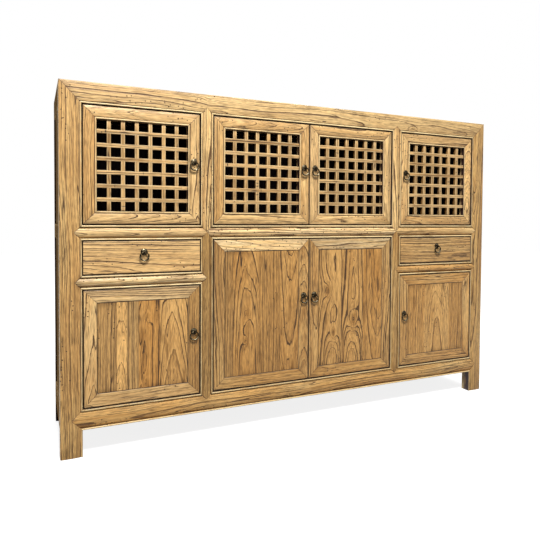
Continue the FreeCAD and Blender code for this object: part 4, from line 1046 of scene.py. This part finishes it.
def tube(path, radii, sides, closed):
    """A round wire: circles of the given radii set square to a flat path, with
    flat ends unless the path runs back into itself."""
    path, radii = np.array(path, float), np.array(radii, float)
    if closed:
        ahead = np.roll(path, -1, axis=0) - np.roll(path, 1, axis=0)
    else:
        ahead = np.gradient(path, axis=0)
    ahead /= np.linalg.norm(ahead, axis=1)[:, None]
    flat = np.cross(ahead[0], ahead[len(ahead) // 3])
    flat /= np.linalg.norm(flat)
    second = np.cross(ahead, flat)
    swing = np.linspace(0, 2 * np.pi, sides, endpoint=False)
    circle = np.cos(swing)[None, :, None] * flat + np.sin(swing)[None, :, None] * second[:, None, :]
    places = (path[:, None] + radii[:, None, None] * circle).reshape(-1, 3)
    if closed:
        grid = np.arange(len(path) * sides).reshape(len(path), sides)
        across = np.roll(grid, -1, axis=1)
        faces = np.stack([grid, across, np.roll(across, -1, axis=0), np.roll(grid, -1, axis=0)], axis=-1)
        return places, outwards(places, faces.reshape(-1, 4))
    walls, cap = tube_faces(len(path), sides)
    faces = np.concatenate([walls, cap[:, ::-1], cap + (len(path) - 1) * sides])
    return places, outwards(places, faces)


def dome(radius, rise, sides=40):
    """A backplate turned from a profile: a rolled rim and a low dome that is a
    little uneven from the hammer.  It faces -Y and lies on Y = 0."""
    share = np.array([0.0, 0.25, 0.45, 0.62, 0.76, 0.84, 0.88, 0.92, 0.96, 0.99, 1.0, 1.0, 0.0])
    lift = np.array([1.0, 0.95, 0.84, 0.68, 0.46, 0.28, 0.20, 0.34, 0.36, 0.22, 0.05, 0.0, 0.0])
    out = np.maximum(share * radius, 0.0002)
    swing = np.linspace(0, 2 * np.pi, sides, endpoint=False)
    beaten = 1 + 0.03 * np.sin(5 * swing)[None] * np.sin(7 * share * 3)[:, None]
    high = (lift * rise)[:, None] * beaten
    places = np.stack([out[:, None] * np.cos(swing), -high, out[:, None] * np.sin(swing)], axis=-1)
    walls, cap = tube_faces(len(share), sides)
    faces = np.concatenate([walls, cap[:, ::-1], cap + (len(share) - 1) * sides])
    places = places.reshape(-1, 3)
    return places, outwards(places, faces)


def bronze_finish():
    """Aged bronze: dark brown skin, rubbed warmer and smoother in patches, and
    pale where its points are marked: painted glint, partly handling wear.
    """
    material, tree, shader = new_material("aged_bronze")
    place = add_node(tree, "ShaderNodeTexCoord").outputs["Object"]
    cloud, grit = (add_node(tree, "ShaderNodeTexNoise",
                            {"Vector": place, "Scale": scale, "Detail": detail}).outputs[0]
                   for scale, detail in ((180.0, 3.0), (900.0, 2.0)))
    # Painted glint, partly handling wear: pale bronze where the points' layer says.
    wear_and_glint = add_node(tree, "ShaderNodeAttribute", attribute_name="wear_and_glint").outputs["Fac"]
    wear_and_glint = maths(tree, "MULTIPLY", wear_and_glint, ramp(tree, cloud, 0.36, 0.54))
    rubbed = ramp(tree, cloud, 0.44, 0.62)
    skin = blended(tree, rubbed, (0.016, 0.012, 0.007, 1), (0.090, 0.068, 0.038, 1))
    tree.links.new(blended(tree, wear_and_glint, skin, (0.36, 0.30, 0.19, 1)), shader.inputs["Base Color"])
    rough = maths(tree, "SUBTRACT", 0.44, maths(tree, "MULTIPLY", rubbed, 0.18))
    rough = maths(tree, "ADD", rough, maths(tree, "MULTIPLY", grit, 0.08))
    tree.links.new(rough, shader.inputs["Roughness"])
    embossed(tree, shader, cloud, 0.35, 0.0006)
    shader.inputs["Metallic"].default_value = 0.9
    shader.inputs["Specular Tint"].default_value = (0.16, 0.13, 0.09, 1)
    return material


bronze = bronze_finish()


def metal_piece(name, body, shells, wear_and_glint, node):
    """One bronze piece from closed shells of points and faces, with a function
    that gives, for the points, how pale they are: painted glint, partly handling
    wear."""
    places, faces = joined(shells)
    placed(name, body, bronze, (places, faces), 0.9, {"wear_and_glint": wear_and_glint(places)}, [node])


for label in lattice_doors + panel_doors + ["left_drawer", "right_drawer"]:
    ring_low, ring_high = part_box(f"{label}_ring")
    middle = (ring_low + ring_high) / 2
    eye = np.array([middle.x, middle.y, middle.z + ring_radius])
    face = eye[1] + eye_stand_off
    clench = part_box(f"{label}_pull")[1].y - shank_radius
    plate = dome(plate_radius, plate_rise)
    plate = (plate[0] + [eye[0], face, eye[2]], plate[1])
    swing = np.linspace(0, 2 * np.pi, eye_points, endpoint=False)
    loop = np.stack([np.full(eye_points, eye[0]), eye[1] - eye_radius * np.cos(swing),
                     eye[2] + eye_radius * np.sin(swing)], axis=1)
    shells = [plate, tube(loop, np.full(eye_points, eye_wire), 12, True)]
    bend = np.linspace(0, np.pi / 2, 6)
    turn = clench - turn_radius
    for way in (1, -1):
        deep = np.concatenate([np.linspace(eye[1] + eye_radius, turn, 3),
                               turn + turn_radius * np.sin(bend[1:]), [clench]])
        high = np.concatenate([np.full(3, eye[2]), eye[2] + way * turn_radius * (1 - np.cos(bend[1:])),
                               [eye[2] + way * leg_length]])
        leg = np.stack([np.full(len(deep), eye[0]), deep, high], axis=1)
        radii = np.full(len(leg), shank_radius)
        radii[-1] *= tip_share
        shells.append(tube(leg, radii, 10, False))

    def rubbed_plate(at):
        """Painted glint, partly rubbed wear: brighter in a band a little above the
        eye, on the front only.
        """
        band = np.clip(1 - np.abs(at[:, 2] - eye[2] - rubbed_above) / rubbed_reach, 0, 1)
        return plate_rubbed * band * (at[:, 1] < face)

    metal_piece(f"{label}_plate_and_eye", label, shells, rubbed_plate, f"{label}_pull")
    swing = np.linspace(0, 2 * np.pi, ring_points, endpoint=False)
    draw = np.random.default_rng(zlib.crc32(label.encode()))
    phases = draw.uniform(0, 6), draw.uniform(0, 6)
    uneven = 1 + 0.03 * np.sin(3 * swing + phases[0]) + 0.02 * np.sin(7 * swing + phases[1])
    thick = ring_wire * (ring_mean - ring_swell * np.cos(swing)) * uneven
    bend_radius = ring_radius + ring_wire - thick
    hoop = np.stack([middle.x + bend_radius * np.sin(swing), np.full(ring_points, middle.y),
                     middle.z + bend_radius * np.cos(swing)], axis=1)

    def rubbed_inside(at):
        """Painted glint, partly handling wear: bright low down on the ring, and on
        its inner side.
        """
        out = (np.hypot(at[:, 0] - middle.x, at[:, 2] - middle.z) - ring_radius) / ring_wire
        low = np.clip(1.3 * (middle.z - at[:, 2]) / ring_radius, 0, 1)
        return low * np.clip(-0.1 - 1.4 * out, 0, 1)

    metal_piece(f"{label}_hoop", f"{label}_ring", [tube(hoop, thick, 18, True)], rubbed_inside,
                f"{label}_ring")

# Pivot pins: the pins at each door's outer edge, on which it turns.  They
# keep their frame node and take the same bronze.
repaint("door_pivot_pins", bronze)

# Floor and light: a pale floor that reads white to the camera but keeps the
# cabinet's shadow, a soft lamp above the front, one behind, and an even sky.
def only_seen(tree):
    """1 for rays that show a surface: camera, glossy and transmission rays."""
    path = add_node(tree, "ShaderNodeLightPath").outputs
    seen = maths(tree, "MAXIMUM", path["Is Camera Ray"], path["Is Glossy Ray"])
    return maths(tree, "MAXIMUM", seen, path["Is Transmission Ray"])


floor_half = 9.0
floor_mesh = bpy.data.meshes.new("floor")
corners = [(x * floor_half, y * floor_half, 0) for x, y in ((-1, -1), (1, -1), (1, 1), (-1, 1))]
floor_mesh.from_pydata(corners, [], [(0, 1, 2, 3)])
floor = bpy.data.objects.new("floor", floor_mesh)
bpy.context.scene.collection.objects.link(floor)
floor_paint, tree, _ = new_material("floor_paint")
tree.nodes.clear()
matt = add_node(tree, "ShaderNodeBsdfDiffuse", {"Color": (0.42, 0.42, 0.42, 1)}).outputs[0]
place = add_node(tree, "ShaderNodeTexCoord").outputs["Object"]
away = vector_maths(tree, "LENGTH", place)
bright = ramp(tree, away, 0.9, 1.9, 0.84, 1.0)
glow = add_node(tree, "ShaderNodeEmission", {"Color": (1, 1, 1, 1), "Strength": bright}).outputs[0]
shown = add_node(tree, "ShaderNodeAddShader", {0: matt, 1: glow}).outputs[0]
mixed = add_node(tree, "ShaderNodeMixShader", {0: only_seen(tree), 1: matt, 2: shown}).outputs[0]
add_node(tree, "ShaderNodeOutputMaterial", {0: mixed})
floor_mesh.materials.append(floor_paint)

sky = bpy.data.worlds.new("sky")
bpy.context.scene.world = sky
sky.use_nodes = True
tree = sky.node_tree
tree.nodes.clear()
even, white = (add_node(tree, "ShaderNodeBackground",
                        {"Color": (1, 1, 1, 1), "Strength": strength}).outputs[0]
               for strength in (0.21, 1.0))
mixed = add_node(tree, "ShaderNodeMixShader", {0: only_seen(tree), 1: even, 2: white}).outputs[0]
add_node(tree, "ShaderNodeOutputWorld", {0: mixed})


def soft_lamp(name, place, aim, width, depth, power):
    """A rectangular lamp that looks at a point."""
    lamp = bpy.data.lights.new(name, "AREA")
    lamp.shape = "RECTANGLE"
    lamp.size, lamp.size_y = width, depth
    lamp.energy = power
    holder = bpy.data.objects.new(name, lamp)
    bpy.context.scene.collection.objects.link(holder)
    toward = Vector(aim) - Vector(place)
    turned = toward.to_track_quat("-Z", "Y").to_matrix().to_4x4()
    holder.matrix_world = Matrix.Translation(place) @ turned


soft_lamp("key_lamp", (-0.5, -2.0, 3.2), (-0.2, 0.0, 0.6), 1.2, 0.6, 152.0)
soft_lamp("rear_lamp", (1.2, 2.4, 2.6), (0.2, 0.0, 0.5), 1.6, 1.0, 90.0)

bpy.context.scene.view_settings.view_transform = "Standard"
